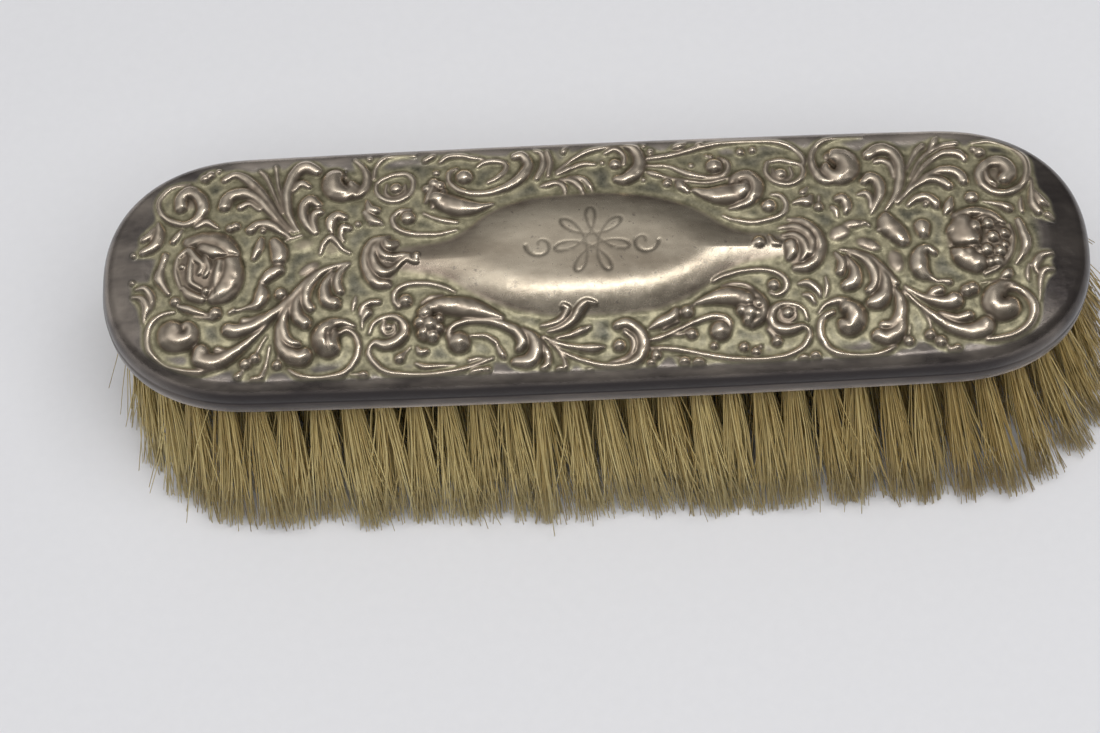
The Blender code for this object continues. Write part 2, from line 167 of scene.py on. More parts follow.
# Each stroke is x, y, half width, repeated: a rounded ridge along a smooth line, or one bead.
LEFT_STROKES = [
    # upper end scroll and its sprig
    (-69.5, 17.2, 0.3, -72.8, 16.6, 0.4, -74.8, 14.2, 0.45, -74.4, 11.6, 0.5, -72.4, 9.8, 0.6,
     -70.0, 9.2, 0.6, -68.2, 10.2, 0.8, -67.2, 12.2, 1.0, -67.8, 14.5, 1.05, -69.6, 15.6, 1.05,
     -71.0, 14.4, 1.0, -71.1, 12.6, 1.0),
    (-74.8, 9.7, 0.35, -74.6, 7.5, 0.9, -75.5, 5.2, 0.9, -77.4, 4.1, 0.6),
    (-75.5, 8.8, 0.3, -76.2, 7.3, 0.7, -77.3, 6.6, 0.65),
    (-79.0, 3.7, 0.5),
    (-72.2, 6.0, 0.6, -71.6, 6.9, 0.6, -70.7, 8.1, 0.3),
    (-68.9, 9.9, 0.45),
    (-68.2, 8.5, 0.5, -66.6, 9.3, 0.7, -64.6, 8.1, 0.4),
    # leaf left of the rose, its beads and tendril
    (-73.5, 3.3, 0.65, -74.1, 1.4, 0.6, -74.5, -0.8, 0.85, -73.7, -2.6, 0.6, -72.8, -4.0, 0.45),
    (-71.7, -5.5, 0.85),
    (-71.2, -6.5, 0.4, -69.6, -7.1, 0.7, -67.2, -8.0, 0.5, -65.8, -8.5, 0.3),
    (-68.6, -8.6, 0.25, -66.6, -8.9, 0.3, -65.3, -8.9, 0.6),
    (-64.8, -8.1, 1.05),
    # lower sprig
    (-79.1, -1.5, 0.5),
    (-79.0, -4.2, 0.35, -77.5, -4.6, 0.6, -76.5, -6.0, 0.8, -76.9, -8.2, 0.4, -77.0, -9.2, 0.25),
    (-78.4, -2.8, 0.35, -76.8, -2.8, 0.6, -75.7, -4.6, 0.65, -76.0, -6.6, 0.5),
    # lower end scroll and its comma
    (-71.8, -7.4, 0.3, -74.2, -7.9, 0.45, -75.9, -9.6, 0.5, -76.4, -12.0, 0.5, -75.8, -14.6, 0.5,
     -73.8, -17.0, 0.5, -71.0, -18.1, 0.5, -68.0, -18.5, 0.55, -65.8, -18.2, 0.4),
    (-70.6, -10.9, 0.4, -69.7, -9.9, 0.7, -68.8, -11.0, 1.0, -69.2, -12.6, 1.3, -70.7, -13.0, 1.5,
     -72.2, -12.4, 1.9, -72.3, -11.2, 1.9, -71.8, -10.4, 1.2),
    # long lobes low on the left
    (-62.6, -11.2, 1.1, -61.6, -11.5, 1.15, -59.0, -11.0, 1.0, -56.8, -9.9, 0.95,
     -54.4, -8.3, 0.85, -51.9, -5.9, 0.75),
    (-60.0, -9.8, 0.65, -58.4, -9.6, 0.55, -56.6, -8.8, 0.4),
    (-67.3, -14.9, 1.3, -67.0, -16.3, 1.45, -65.0, -16.8, 1.35, -62.8, -16.0, 1.1,
     -60.2, -14.3, 0.75, -57.5, -12.0, 0.5, -54.5, -8.8, 0.4),
    (-64.5, -14.7, 0.65, -62.6, -15.0, 0.5, -60.0, -13.9, 0.4),
    (-59.8, -17.4, 0.95),
    (-61.1, -19.6, 0.55, -60.3, -18.7, 0.35),
    (-58.2, -16.4, 0.85), (-58.0, -15.8, 0.35, -57.2, -14.2, 0.3, -56.2, -12.6, 0.25),
    (-59.3, -20.6, 0.35), (-58.4, -20.4, 0.65, -57.2, -19.9, 0.5, -56.3, -17.5, 0.35,
     -55.7, -14.5, 0.3),
    # twig and upper sprays
    (-66.9, 18.2, 0.8), (-66.0, 18.9, 0.75), (-64.6, 19.6, 0.5),
    (-63.6, 17.8, 0.6, -61.8, 18.7, 0.6, -59.8, 17.8, 0.8, -58.0, 15.8, 0.9, -56.0, 13.0, 0.7,
     -53.8, 9.5, 0.5, -51.5, 6.6, 0.35),
    (-63.5, 12.4, 1.05, -62.8, 14.1, 1.1, -60.8, 14.9, 1.1, -58.6, 14.2, 1.0, -56.6, 12.2, 0.85,
     -54.4, 9.2, 0.6, -52.4, 6.8, 0.4),
    (-60.7, 12.0, 0.65, -59.2, 12.7, 0.55, -57.4, 11.4, 0.5),
    (-62.4, 7.8, 0.8), (-61.4, 8.2, 0.8),
    (-58.9, 7.4, 0.85, -57.6, 8.5, 0.75, -55.6, 8.2, 0.9, -53.8, 7.0, 0.7, -52.2, 5.7, 0.4),
    (-56.8, 7.1, 0.55),
    # flower
    (-57.0, 5.5, 0.5, -57.5, 3.8, 0.8, -58.3, 1.9, 0.5),
    (-54.8, 4.8, 0.9, -54.0, 3.0, 1.35, -54.1, 1.6, 1.2),
    (-52.9, 5.1, 0.3, -50.1, 6.0, 0.3),
    (-47.0, 2.2, 0.35, -46.5, 4.0, 0.45, -45.2, 5.3, 0.6, -44.0, 4.2, 0.5, -43.2, 3.0, 0.4,
     -42.0, 2.2, 0.35),
    (-54.0, -0.6, 0.9, -55.4, -1.3, 1.05, -56.8, -2.6, 0.7),
    (-57.1, -3.4, 0.6, -57.0, -5.2, 1.15, -57.8, -6.9, 0.9, -59.6, -7.4, 0.4, -61.2, -7.8, 0.35),
    (-61.7, -7.8, 0.5), (-62.4, -8.1, 0.4), (-53.8, -5.0, 1.0),
    # leaves above the flower
    (-47.6, 18.9, 0.9, -49.6, 19.7, 1.1, -51.3, 18.6, 1.0, -52.3, 16.4, 0.9, -52.7, 13.6, 0.8,
     -52.4, 10.6, 0.7, -51.6, 8.4, 0.5, -50.7, 6.8, 0.35),
    (-49.0, 15.7, 0.55, -50.3, 16.5, 0.7, -51.6, 15.0, 0.5),
    (-57.4, 19.3, 0.4, -56.3, 18.0, 0.5, -55.0, 14.5, 0.4, -53.5, 10.5, 0.35),
    (-54.7, 20.0, 0.4, -54.2, 16.0, 0.4, -53.2, 11.5, 0.35),
    (-47.4, 11.9, 0.8, -48.6, 12.9, 0.95, -49.8, 11.8, 0.9, -49.9, 9.6, 0.8, -48.9, 7.4, 0.6,
     -48.0, 6.1, 0.35),
    (-46.9, 10.3, 0.65, -47.9, 10.1, 0.7, -48.2, 8.6, 0.65, -47.6, 6.4, 0.45),
    (-42.9, 9.1, 0.7, -44.1, 9.6, 0.8, -45.1, 8.5, 0.9, -45.2, 7.0, 0.6, -44.9, 6.2, 0.35),
    (-42.1, 6.9, 0.65, -43.0, 7.1, 0.7, -43.4, 5.8, 0.5, -43.0, 4.4, 0.3),
    # upper comma and its ring
    (-43.2, 17.7, 0.7, -44.5, 17.6, 1.3, -45.0, 16.0, 1.6, -44.2, 14.4, 1.6, -42.4, 13.7, 1.2,
     -41.0, 14.6, 1.0, -41.4, 15.6, 0.8),
    (-42.4, 13.4, 0.7, -40.2, 13.8, 0.8, -38.9, 16.0, 0.75, -39.2, 18.6, 0.6, -41.0, 20.8, 0.35),
    # upper bud
    (-37.3, 15.7, 0.4, -36.0, 16.7, 0.45, -34.2, 17.4, 0.5, -32.0, 17.4, 0.5, -30.9, 15.8, 0.5,
     -31.5, 13.4, 0.5, -33.2, 12.1, 0.5, -35.6, 12.2, 0.5, -37.2, 13.8, 0.45, -37.3, 15.7, 0.4),
    (-35.5, 15.4, 0.35, -35.7, 13.6, 0.4, -34.2, 12.7, 0.4, -32.4, 13.6, 0.4, -32.3, 15.2, 0.35),
    (-33.9, 14.5, 1.0),
    (-37.7, 16.8, 0.35, -37.3, 19.2, 0.4, -35.6, 21.0, 0.4, -32.8, 21.6, 0.45, -30.6, 21.2, 0.35),
    (-38.4, 20.8, 0.5),
    # curl above the neck, and the line that runs from it
    (-31.9, 8.5, 1.15),
    (-31.5, 10.0, 0.4, -33.4, 9.8, 0.5, -34.6, 8.3, 0.5, -33.8, 6.4, 0.5, -32.0, 5.5, 0.5,
     -29.5, 5.1, 0.45, -26.5, 5.1, 0.4, -23.6, 5.7, 0.3),
    (-38.9, 12.2, 0.35, -38.4, 10.6, 0.8, -37.4, 10.2, 0.8),
    (-39.3, 9.9, 0.5, -38.1, 8.4, 0.8, -36.9, 7.8, 0.6),
    (-40.5, 7.7, 0.55), (-36.4, 7.4, 0.35), (-38.4, 7.5, 0.35),
    # lower acanthus
    (-42.0, 0.2, 0.35, -43.6, -1.4, 0.6, -44.2, -3.4, 0.8, -43.7, -5.0, 0.75),
    (-45.0, -1.6, 0.5, -46.3, -4.2, 0.9, -45.9, -6.5, 1.15, -44.7, -7.2, 1.1),
    (-44.0, 0.0, 0.4, -47.0, -1.5, 0.7, -49.2, -4.1, 0.9, -49.5, -6.5, 0.8, -48.8, -7.9, 0.8),
    (-50.0, -4.6, 0.6, -51.2, -7.2, 0.9, -50.8, -9.4, 1.1, -49.7, -10.5, 1.1),
    (-49.5, -3.2, 0.5, -51.8, -6.5, 0.7, -53.4, -9.8, 0.8, -53.3, -12.4, 0.9, -52.3, -13.9, 0.8,
     -50.9, -14.3, 0.6),
    (-54.2, -10.6, 0.5, -54.0, -13.9, 0.8, -52.6, -16.0, 1.2, -50.6, -16.7, 1.4, -49.8, -16.2, 1.2),
    (-42.5, 0.2, 0.4, -46.0, -0.9, 0.6, -49.4, -3.2, 0.75, -52.0, -6.2, 0.75),
    # lower comma and its ring
    (-43.9, -12.7, 0.5, -42.6, -12.2, 0.5, -41.2, -13.2, 0.55, -40.7, -15.2, 0.55,
     -41.4, -17.6, 0.55, -43.2, -19.6, 0.55, -45.8, -20.5, 0.6, -48.4, -20.6, 0.55,
     -51.0, -19.8, 0.45, -52.6, -18.6, 0.3),
    (-41.4, -11.5, 0.4, -43.4, -10.8, 0.7, -45.6, -11.2, 1.1, -46.9, -12.8, 1.5,
     -46.5, -14.6, 1.7, -45.3, -15.2, 1.3, -44.9, -13.8, 0.8, -44.6, -12.4, 0.5),
    (-40.0, -20.3, 0.75), (-40.4, -20.1, 0.35, -42.2, -20.0, 0.2),
    (-54.5, -17.8, 0.8), (-54.4, -17.2, 0.3, -54.1, -15.2, 0.2),
    (-41.0, -6.2, 0.3, -41.3, -7.4, 0.45, -41.6, -8.7, 0.25),
    (-37.2, -7.3, 0.5, -38.6, -7.4, 0.6, -39.9, -8.3, 0.6, -40.3, -9.6, 0.35),
    (-39.1, -9.2, 0.8, -39.9, -10.6, 0.4, -40.1, -11.9, 0.25),
    # lower bud and the long scroll under it
    (-38.9, -12.9, 0.3, -38.2, -11.3, 0.4, -36.6, -10.3, 0.5, -34.6, -10.2, 0.6,
     -33.1, -11.4, 0.75, -33.1, -13.2, 0.85, -34.4, -14.6, 0.95, -36.2, -15.1, 0.85,
     -37.9, -14.6, 0.6, -38.9, -15.3, 0.4),
    (-34.6, -11.6, 0.35, -34.6, -12.8, 0.4, -35.8, -13.3, 0.4, -36.7, -12.3, 0.4,
     -36.3, -11.0, 0.4),
    (-35.6, -12.0, 0.65),
    (-38.9, -15.4, 0.4, -39.0, -16.6, 0.5, -37.9, -18.4, 0.55, -36.0, -19.9, 0.55,
     -33.2, -20.6, 0.55, -30.0, -20.8, 0.5, -27.0, -20.6, 0.5, -23.6, -20.0, 0.45,
     -20.5, -19.0, 0.4, -18.2, -18.1, 0.3),
    (-32.0, -15.6, 0.25, -33.0, -16.6, 0.35, -33.9, -17.6, 0.8),
    (-30.9, -15.7, 0.3, -30.4, -16.6, 0.55, -29.4, -16.5, 0.5),
    (-31.1, -18.6, 0.35, -29.6, -19.2, 0.55, -27.0, -19.1, 0.4, -24.5, -19.1, 0.25),
    # curl below the neck
    (-32.6, -7.3, 1.1),
    (-33.8, -8.4, 0.5, -34.5, -7.2, 0.5, -34.3, -5.6, 0.5, -32.8, -4.5, 0.5, -30.4, -4.1, 0.5,
     -27.6, -4.5, 0.45, -25.6, -5.3, 0.4, -24.2, -6.1, 0.3),
    # lower horn: head, body, rim
    (-29.4, -9.6, 1.15), (-28.5, -11.9, 1.3), (-29.8, -13.5, 1.0), (-28.2, -14.1, 0.95),
    (-27.0, -12.6, 0.85), (-26.9, -10.7, 0.7), (-30.4, -11.4, 0.9),
    (-28.6, -8.6, 0.9, -26.0, -8.5, 1.4, -22.6, -9.0, 1.65, -19.6, -10.0, 1.3, -16.6, -11.2, 0.6),
    (-29.9, -7.8, 0.35, -28.4, -6.9, 0.4, -26.3, -6.6, 0.3),
    # upper horn
    (-28.7, 14.2, 0.75), (-27.4, 15.4, 0.9), (-26.2, 14.8, 0.8), (-25.6, 13.4, 0.6),
    (-28.8, 11.4, 0.4, -28.2, 12.8, 0.55, -27.5, 14.2, 0.5),
    (-27.7, 10.2, 0.4, -27.5, 12.2, 0.55, -26.8, 13.6, 0.5),
    (-27.0, 12.0, 1.2, -25.6, 11.3, 1.6, -23.6, 10.4, 1.7, -21.4, 9.9, 1.3, -19.4, 10.0, 0.8,
     -17.4, 10.5, 0.4),
    (-29.2, 9.2, 0.35, -27.4, 8.2, 0.4, -25.8, 7.6, 0.45, -23.6, 7.2, 0.4),
    # upper S scroll
    (-22.1, 16.4, 1.35),
    (-23.3, 18.2, 0.35, -24.6, 17.4, 0.5, -24.7, 15.6, 0.5, -23.4, 13.9, 0.55, -21.4, 13.0, 0.6,
     -18.6, 12.8, 0.6, -15.6, 13.5, 0.7, -13.2, 14.9, 0.9, -11.6, 16.8, 0.95, -11.0, 18.6, 0.85,
     -12.0, 20.2, 0.8, -13.2, 20.1, 0.7),
    (-9.6, 15.4, 0.5, -8.4, 18.0, 0.65, -8.5, 20.4, 0.5, -9.8, 21.2, 0.4),
    (-7.6, 15.8, 0.4, -7.1, 18.6, 0.55, -7.6, 20.9, 0.4),
    (-18.0, 15.0, 0.4, -16.2, 16.0, 0.5, -14.9, 17.6, 0.5, -15.0, 18.9, 0.5, -16.6, 19.4, 0.5,
     -18.6, 19.2, 0.45, -19.8, 18.4, 0.3),
    (-28.8, 20.0, 0.5, -27.4, 20.8, 0.5),
    (-26.2, 19.6, 0.4, -24.8, 20.6, 0.5, -22.6, 20.7, 0.5, -20.6, 20.2, 0.45, -18.6, 19.9, 0.3),
    (-26.9, 17.4, 0.6),
    # lower S scroll
    (-23.8, -15.2, 1.65),
    (-25.2, -14.6, 0.6, -25.4, -13.2, 0.6, -24.2, -12.1, 0.6, -22.0, -11.5, 0.6, -19.0, -11.6, 0.65,
     -16.0, -12.5, 0.8, -14.0, -13.8, 0.9, -13.1, -15.6, 0.9, -13.7, -16.7, 0.7),
    (-13.0, -13.4, 0.5, -11.3, -15.0, 0.9, -10.9, -17.2, 1.15, -12.2, -18.9, 1.15,
     -14.4, -19.0, 0.8),
    (-10.4, -15.0, 0.4, -9.2, -17.4, 0.65, -9.0, -19.4, 0.6, -9.8, -20.4, 0.5),
    (-21.8, -14.1, 0.3, -19.4, -14.2, 0.4, -17.8, -15.2, 0.5, -17.4, -16.0, 0.35),
    (-17.2, -16.4, 0.45, -16.6, -17.6, 0.6, -16.2, -18.3, 0.3),
    (-22.1, -18.4, 0.45, -20.6, -18.1, 0.35, -19.4, -18.2, 0.25),
    (-22.1, -21.3, 0.35, -21.6, -20.6, 0.5, -20.2, -20.2, 0.5), (-19.2, -20.2, 0.6),
]

MIDDLE_STROKES = [
    # sprays below the cartouche
    (-9.6, -14.8, 0.4, -7.2, -16.1, 0.5, -4.2, -16.9, 0.5, -1.4, -17.2, 0.75, 0.4, -17.1, 0.4),
    (-8.6, -15.9, 0.35, -6.2, -17.8, 0.4, -3.2, -19.2, 0.45, 0.0, -20.3, 0.5, 3.0, -20.8, 0.7,
     5.2, -20.1, 0.85, 6.8, -18.4, 0.95, 7.2, -16.4, 0.95, 6.4, -14.4, 0.95, 4.6, -13.1, 0.9,
     3.0, -13.4, 0.8),
    (-7.6, -16.8, 0.3, -6.4, -18.6, 0.4, -6.0, -20.2, 0.45), (-6.9, -21.0, 0.85),
    (-2.1, -21.4, 0.7),
    (4.2, -14.6, 0.5, 5.5, -16.0, 0.6, 5.4, -17.8, 0.55, 4.2, -19.1, 0.5, 1.4, -19.9, 0.35),
    (3.1, -16.9, 0.95),
    (-9.8, -12.9, 0.35, -7.8, -12.6, 0.6, -6.0, -11.6, 0.7, -5.3, -10.4, 0.6, -6.0, -9.8, 0.45),
    (-8.8, -14.0, 0.35, -6.6, -13.4, 0.6, -4.4, -12.0, 0.8, -3.0, -10.2, 0.75, -2.0, -9.4, 0.5,
     -0.6, -9.6, 0.3),
    (-7.4, -15.1, 0.35, -5.0, -14.7, 0.5, -3.0, -14.0, 0.6, -1.7, -13.4, 0.35),
    # sprays above it
    (-9.0, 13.7, 0.3, -7.8, 14.0, 0.6, -6.2, 14.3, 0.5, -5.0, 13.5, 0.55, -4.8, 12.2, 0.35),
    (-5.6, 15.0, 0.35, -3.6, 14.6, 0.6, -2.3, 13.4, 0.6, -1.7, 12.1, 0.35),
    (-4.0, 15.4, 0.35, -1.6, 14.9, 0.6, -0.5, 13.4, 0.5, -0.1, 12.4, 0.3),
    (-6.0, 16.1, 0.4, -3.8, 17.2, 0.5, -1.6, 18.0, 0.5, 0.6, 17.9, 0.35),
    (-6.2, 16.6, 0.35, -3.6, 18.8, 0.4, -0.6, 20.4, 0.5, 2.2, 21.2, 0.5, 4.8, 21.9, 0.6,
     7.0, 21.0, 0.85, 8.2, 19.2, 0.95, 8.2, 17.2, 1.05, 7.2, 15.5, 1.2, 5.6, 14.4, 1.0,
     4.3, 14.5, 0.75),
    (2.4, 20.0, 0.35, 4.2, 20.7, 0.5, 5.7, 19.4, 0.5, 5.6, 17.6, 0.4),
    (4.1, 17.7, 1.0), (1.9, 18.1, 0.45), (-4.8, 20.6, 0.45, -4.2, 21.8, 0.35),
]

RIGHT_STROKES = [
    # lines running right along the upper edge to the bud
    (9.8, 18.6, 0.5, 12.5, 18.9, 0.5, 16.0, 19.6, 0.5, 20.0, 20.6, 0.5, 24.0, 21.3, 0.5,
     29.0, 21.4, 0.5, 33.0, 20.6, 0.5, 35.6, 19.0, 0.5, 36.7, 17.0, 0.5, 36.3, 15.4, 0.4),
    (9.4, 17.1, 0.35, 13.0, 16.8, 0.4, 15.2, 15.7, 0.5, 16.8, 14.9, 0.65, 19.0, 14.3, 0.5,
     21.6, 14.2, 0.5, 23.3, 15.2, 0.5, 23.5, 17.0, 0.5, 22.0, 18.2, 0.35),
    (21.2, 16.4, 1.35),
    (9.4, 15.8, 0.3, 10.7, 15.3, 0.6, 12.6, 14.6, 0.4, 16.0, 13.6, 0.4, 20.0, 13.1, 0.4,
     23.4, 13.8, 0.35),
    (12.9, 13.3, 0.75), (14.4, 13.5, 0.35, 15.2, 12.6, 0.8, 16.3, 11.5, 0.5), (8.8, 14.2, 0.45),
    (20.0, 18.7, 0.4), (20.7, 18.4, 0.5), (25.9, 19.2, 0.7), (28.0, 19.4, 0.65),
    (14.4, 20.5, 0.4, 15.4, 20.8, 0.7, 16.3, 21.4, 0.45), (18.8, 20.9, 0.6, 19.4, 21.8, 0.35),
    (10.3, 19.9, 0.6), (9.2, 21.2, 0.45), (17.2, 16.7, 0.5),
    # upper horn
    (23.9, 13.0, 0.55, 24.8, 13.9, 0.8, 26.6, 14.2, 1.1, 28.0, 12.8, 1.15, 28.0, 10.6, 1.05,
     26.6, 8.8, 0.8, 24.8, 8.0, 0.6, 23.2, 7.7, 0.35),
    (26.4, 12.3, 0.9), (24.8, 12.9, 0.6),
    (26.0, 11.2, 1.2, 24.4, 10.6, 1.75, 22.0, 10.4, 1.65, 19.6, 10.7, 1.1, 17.4, 11.6, 0.5),
    (22.0, 6.3, 0.3, 24.0, 5.4, 0.4, 27.0, 4.8, 0.45, 30.0, 5.2, 0.45, 32.2, 6.2, 0.5,
     33.0, 8.0, 0.5, 32.2, 9.7, 0.5, 30.6, 10.1, 0.35),
    (30.0, 7.9, 1.15),
    # curl below the neck
    (19.6, -6.2, 0.3, 21.6, -5.2, 0.45, 24.4, -4.5, 0.45, 27.6, -4.3, 0.45, 30.2, -4.9, 0.5,
     31.8, -6.4, 0.55, 31.6, -8.2, 0.5, 30.2, -9.1, 0.4, 28.9, -8.6, 0.3),
    (29.7, -7.2, 1.0),
    # lower horn
    (21.0, -7.0, 0.3, 23.0, -6.7, 0.4, 25.2, -7.2, 0.45, 26.9, -8.5, 0.4),
    (16.4, -10.0, 0.4, 19.2, -9.2, 1.0, 21.8, -8.9, 1.45, 24.0, -9.4, 1.5),
    (25.0, -9.8, 1.35), (23.9, -11.6, 0.9), (25.4, -12.3, 1.25), (25.0, -13.6, 0.9),
    (26.9, -10.6, 1.0), (26.8, -12.6, 0.95),
    (24.6, -8.2, 0.4, 26.6, -8.8, 0.7, 27.8, -10.6, 0.75, 27.4, -13.0, 0.75, 25.6, -14.5, 0.5),
    # lower S scroll
    (20.2, -15.1, 1.55),
    (21.7, -14.8, 0.5, 21.7, -13.6, 0.6, 20.6, -12.7, 0.6, 18.4, -12.6, 0.55, 15.6, -13.5, 0.5,
     12.6, -14.8, 0.5, 10.0, -15.9, 0.5, 8.2, -16.2, 0.35),
    (8.2, -14.2, 0.3, 10.2, -13.2, 0.85, 12.2, -12.3, 0.95, 13.0, -11.2, 0.7),
    (14.8, -11.5, 1.05), (15.6, -10.5, 0.45), (10.6, -14.4, 0.35, 13.2, -13.1, 0.45),
    (14.6, -15.2, 0.5), (15.4, -15.4, 0.9), (11.0, -15.6, 0.25, 13.8, -15.4, 0.35),
    (8.0, -17.6, 0.35, 11.5, -17.8, 0.45, 15.0, -18.5, 0.45, 18.6, -19.4, 0.45, 22.6, -20.2, 0.5,
     27.0, -20.6, 0.55, 31.0, -20.0, 0.5, 33.8, -18.6, 0.5, 35.1, -16.8, 0.5, 35.2, -15.4, 0.35),
    (9.2, -18.8, 0.85), (8.3, -20.2, 0.7), (13.9, -20.2, 0.85), (13.6, -19.8, 0.3, 12.4, -19.2, 0.2),
    (16.2, -20.7, 0.95), (17.6, -21.5, 0.45), (19.0, -17.7, 0.65), (24.0, -18.1, 0.8),
    (26.0, -18.9, 0.8), (26.8, -18.1, 0.4),
    # upper bud
    (30.3, 16.7, 0.4, 30.0, 14.6, 0.5, 31.2, 12.8, 0.5, 33.4, 12.0, 0.5, 35.6, 12.8, 0.5,
     36.5, 14.6, 0.5, 36.0, 16.0, 0.45, 34.2, 16.6, 0.5, 32.4, 17.1, 0.5, 30.3, 16.7, 0.4),
    (34.2, 15.4, 0.35, 34.4, 13.8, 0.4, 33.0, 12.8, 0.4, 31.4, 13.6, 0.4, 31.2, 15.2, 0.35),
    (32.5, 14.2, 1.0),
    # lower bud
    (35.0, -13.7, 0.3, 34.4, -12.0, 0.4, 32.8, -11.0, 0.5, 30.6, -10.9, 0.6, 29.1, -12.2, 0.75,
     29.0, -13.9, 0.85, 30.3, -15.2, 0.95, 32.2, -15.4, 0.85, 34.0, -14.9, 0.6, 35.0, -15.4, 0.4),
    (31.7, -12.5, 0.95),
    (30.6, -11.9, 0.35, 30.4, -13.2, 0.4, 31.7, -14.0, 0.4, 33.0, -13.2, 0.4, 32.9, -11.8, 0.35),
    (28.3, -15.2, 0.45, 29.2, -16.4, 0.5), (29.6, -17.3, 0.85), (33.9, -20.8, 0.85), (35.9, -20.2, 0.8),
    # leaves by the neck
    (36.8, 11.2, 0.35, 36.0, 10.3, 0.6), (34.2, 8.2, 0.35, 35.8, 8.6, 0.7, 36.7, 8.4, 0.85,
     37.3, 9.4, 0.5), (38.5, 7.3, 0.8), (38.6, 8.0, 0.4, 38.7, 9.4, 0.3),
    (34.0, -7.2, 0.35, 35.6, -7.2, 0.7, 37.0, -8.4, 0.7, 37.4, -9.7, 0.35),
    (34.6, -9.2, 0.35, 35.7, -9.6, 0.6, 36.4, -10.9, 0.35),
    (38.6, -6.2, 0.3, 38.7, -8.0, 0.45, 38.3, -9.8, 0.25),
    # upper comma
    (40.9, 17.3, 0.7, 42.2, 17.6, 1.3, 43.9, 16.6, 1.7, 44.2, 14.6, 1.75, 42.9, 13.0, 1.4,
     41.4, 13.2, 1.1, 40.3, 14.4, 0.9, 40.4, 15.4, 0.7),
    (42.0, 12.4, 0.7, 39.8, 12.6, 0.85, 38.4, 14.8, 0.75, 38.1, 17.4, 0.6, 39.1, 19.6, 0.5,
     41.2, 21.0, 0.45, 44.2, 21.5, 0.4, 47.4, 21.3, 0.3),
    # leaves above the flower
    (48.0, 17.4, 1.0, 49.4, 18.3, 1.1, 51.2, 18.3, 1.1, 52.6, 17.0, 1.0, 53.1, 14.4, 0.9,
     52.8, 11.6, 0.8, 51.9, 9.0, 0.6, 50.6, 7.0, 0.45, 49.8, 6.0, 0.3),
    (49.0, 15.9, 0.5, 50.4, 16.1, 0.6, 51.6, 15.0, 0.6, 51.9, 12.6, 0.45),
    (46.8, 12.0, 0.8, 47.8, 12.7, 1.0, 49.0, 11.9, 1.0, 49.3, 10.0, 0.9, 48.6, 7.8, 0.6,
     47.4, 5.6, 0.35),
    (45.4, 9.4, 0.35, 46.8, 9.5, 0.65, 47.5, 8.4, 0.6, 47.3, 6.6, 0.35),
    (41.9, 8.7, 0.7, 42.8, 8.7, 0.9, 43.4, 7.2, 0.8, 43.0, 5.9, 0.45),
    (40.8, 7.0, 0.5, 41.3, 6.5, 0.55, 41.5, 5.1, 0.3),
    # flower
    (49.8, 4.6, 1.0, 50.0, 3.2, 1.6, 51.3, 1.6, 1.6, 52.2, 0.2, 1.2), (48.4, 2.3, 0.5),
    (46.2, 3.7, 0.4, 46.8, 3.2, 0.35),
    (55.8, 2.6, 1.3, 55.9, 1.2, 0.9),
    (57.4, -2.4, 0.6, 56.2, -1.7, 0.8, 55.0, -2.4, 1.1, 54.6, -4.2, 1.45, 54.9, -6.0, 1.2,
     56.2, -7.1, 0.6, 57.6, -8.0, 0.35),
    # lower acanthus
    (40.6, -1.8, 0.4, 41.6, -3.5, 0.8, 41.2, -5.3, 0.8),
    (42.4, -2.6, 0.45, 43.6, -5.1, 0.9, 43.3, -7.2, 1.15, 42.1, -7.9, 1.0),
    (43.0, -1.8, 0.45, 45.6, -3.2, 0.8, 46.9, -5.6, 0.9, 46.8, -7.7, 0.8, 45.9, -9.0, 0.8),
    (47.4, -4.2, 0.5, 48.6, -7.0, 0.9, 48.3, -9.6, 1.15, 47.2, -11.0, 1.3, 45.9, -11.3, 0.9),
    (49.8, -8.4, 0.4, 50.8, -11.0, 0.9, 50.6, -13.6, 1.0, 49.3, -15.2, 0.9, 47.6, -15.3, 0.7),
    (51.0, -13.0, 0.6, 50.3, -16.2, 1.1, 48.5, -17.5, 1.25, 46.7, -17.1, 1.1),
    (41.5, -1.2, 0.35, 44.0, -1.7, 0.5, 46.6, -3.0, 0.6, 48.8, -5.6, 0.7, 50.4, -8.0, 0.6),
    # lower comma
    (41.9, -12.0, 0.5, 41.6, -11.6, 1.1, 43.0, -12.8, 1.6, 42.9, -14.6, 1.6, 41.5, -15.5, 1.2,
     40.6, -14.6, 0.7),
    (39.3, -12.7, 0.55, 37.8, -13.4, 0.6, 37.0, -15.0, 0.6, 37.2, -17.2, 0.6, 38.6, -19.2, 0.6,
     41.0, -20.5, 0.6, 44.0, -20.8, 0.6, 46.8, -20.4, 0.5, 49.3, -19.1, 0.4),
    (36.9, -12.7, 0.3, 38.2, -11.3, 0.45, 40.2, -10.6, 0.7, 42.0, -11.0, 0.8),
    (51.7, -18.2, 0.85), (51.8, -17.4, 0.25, 52.2, -15.4, 0.2), (55.4, -17.3, 0.9),
    (55.6, -16.6, 0.3, 55.4, -15.0, 0.3, 54.2, -13.0, 0.2), (57.1, -18.5, 0.95),
    (59.7, -19.9, 0.65, 58.6, -20.2, 0.45, 58.2, -19.4, 0.3),
    # long lobes low on the right
    (51.8, -8.6, 0.35, 54.4, -10.4, 0.6, 56.6, -11.4, 0.9, 58.8, -11.8, 1.1, 60.0, -11.5, 1.35),
    (55.6, -10.4, 0.5, 56.6, -9.9, 0.9, 57.6, -9.6, 0.9),
    (51.6, -9.4, 0.4, 53.8, -11.8, 0.45, 56.4, -14.2, 0.75, 59.2, -16.2, 0.95, 62.0, -17.0, 1.2,
     64.2, -16.6, 1.5, 65.0, -15.9, 1.3),
    (57.4, -13.6, 0.5, 60.0, -14.7, 0.8, 62.2, -14.2, 0.85),
    (62.3, -9.7, 1.1), (63.2, -9.4, 1.1), (57.8, -7.7, 0.35, 59.4, -8.1, 0.6),
    # upper sprays
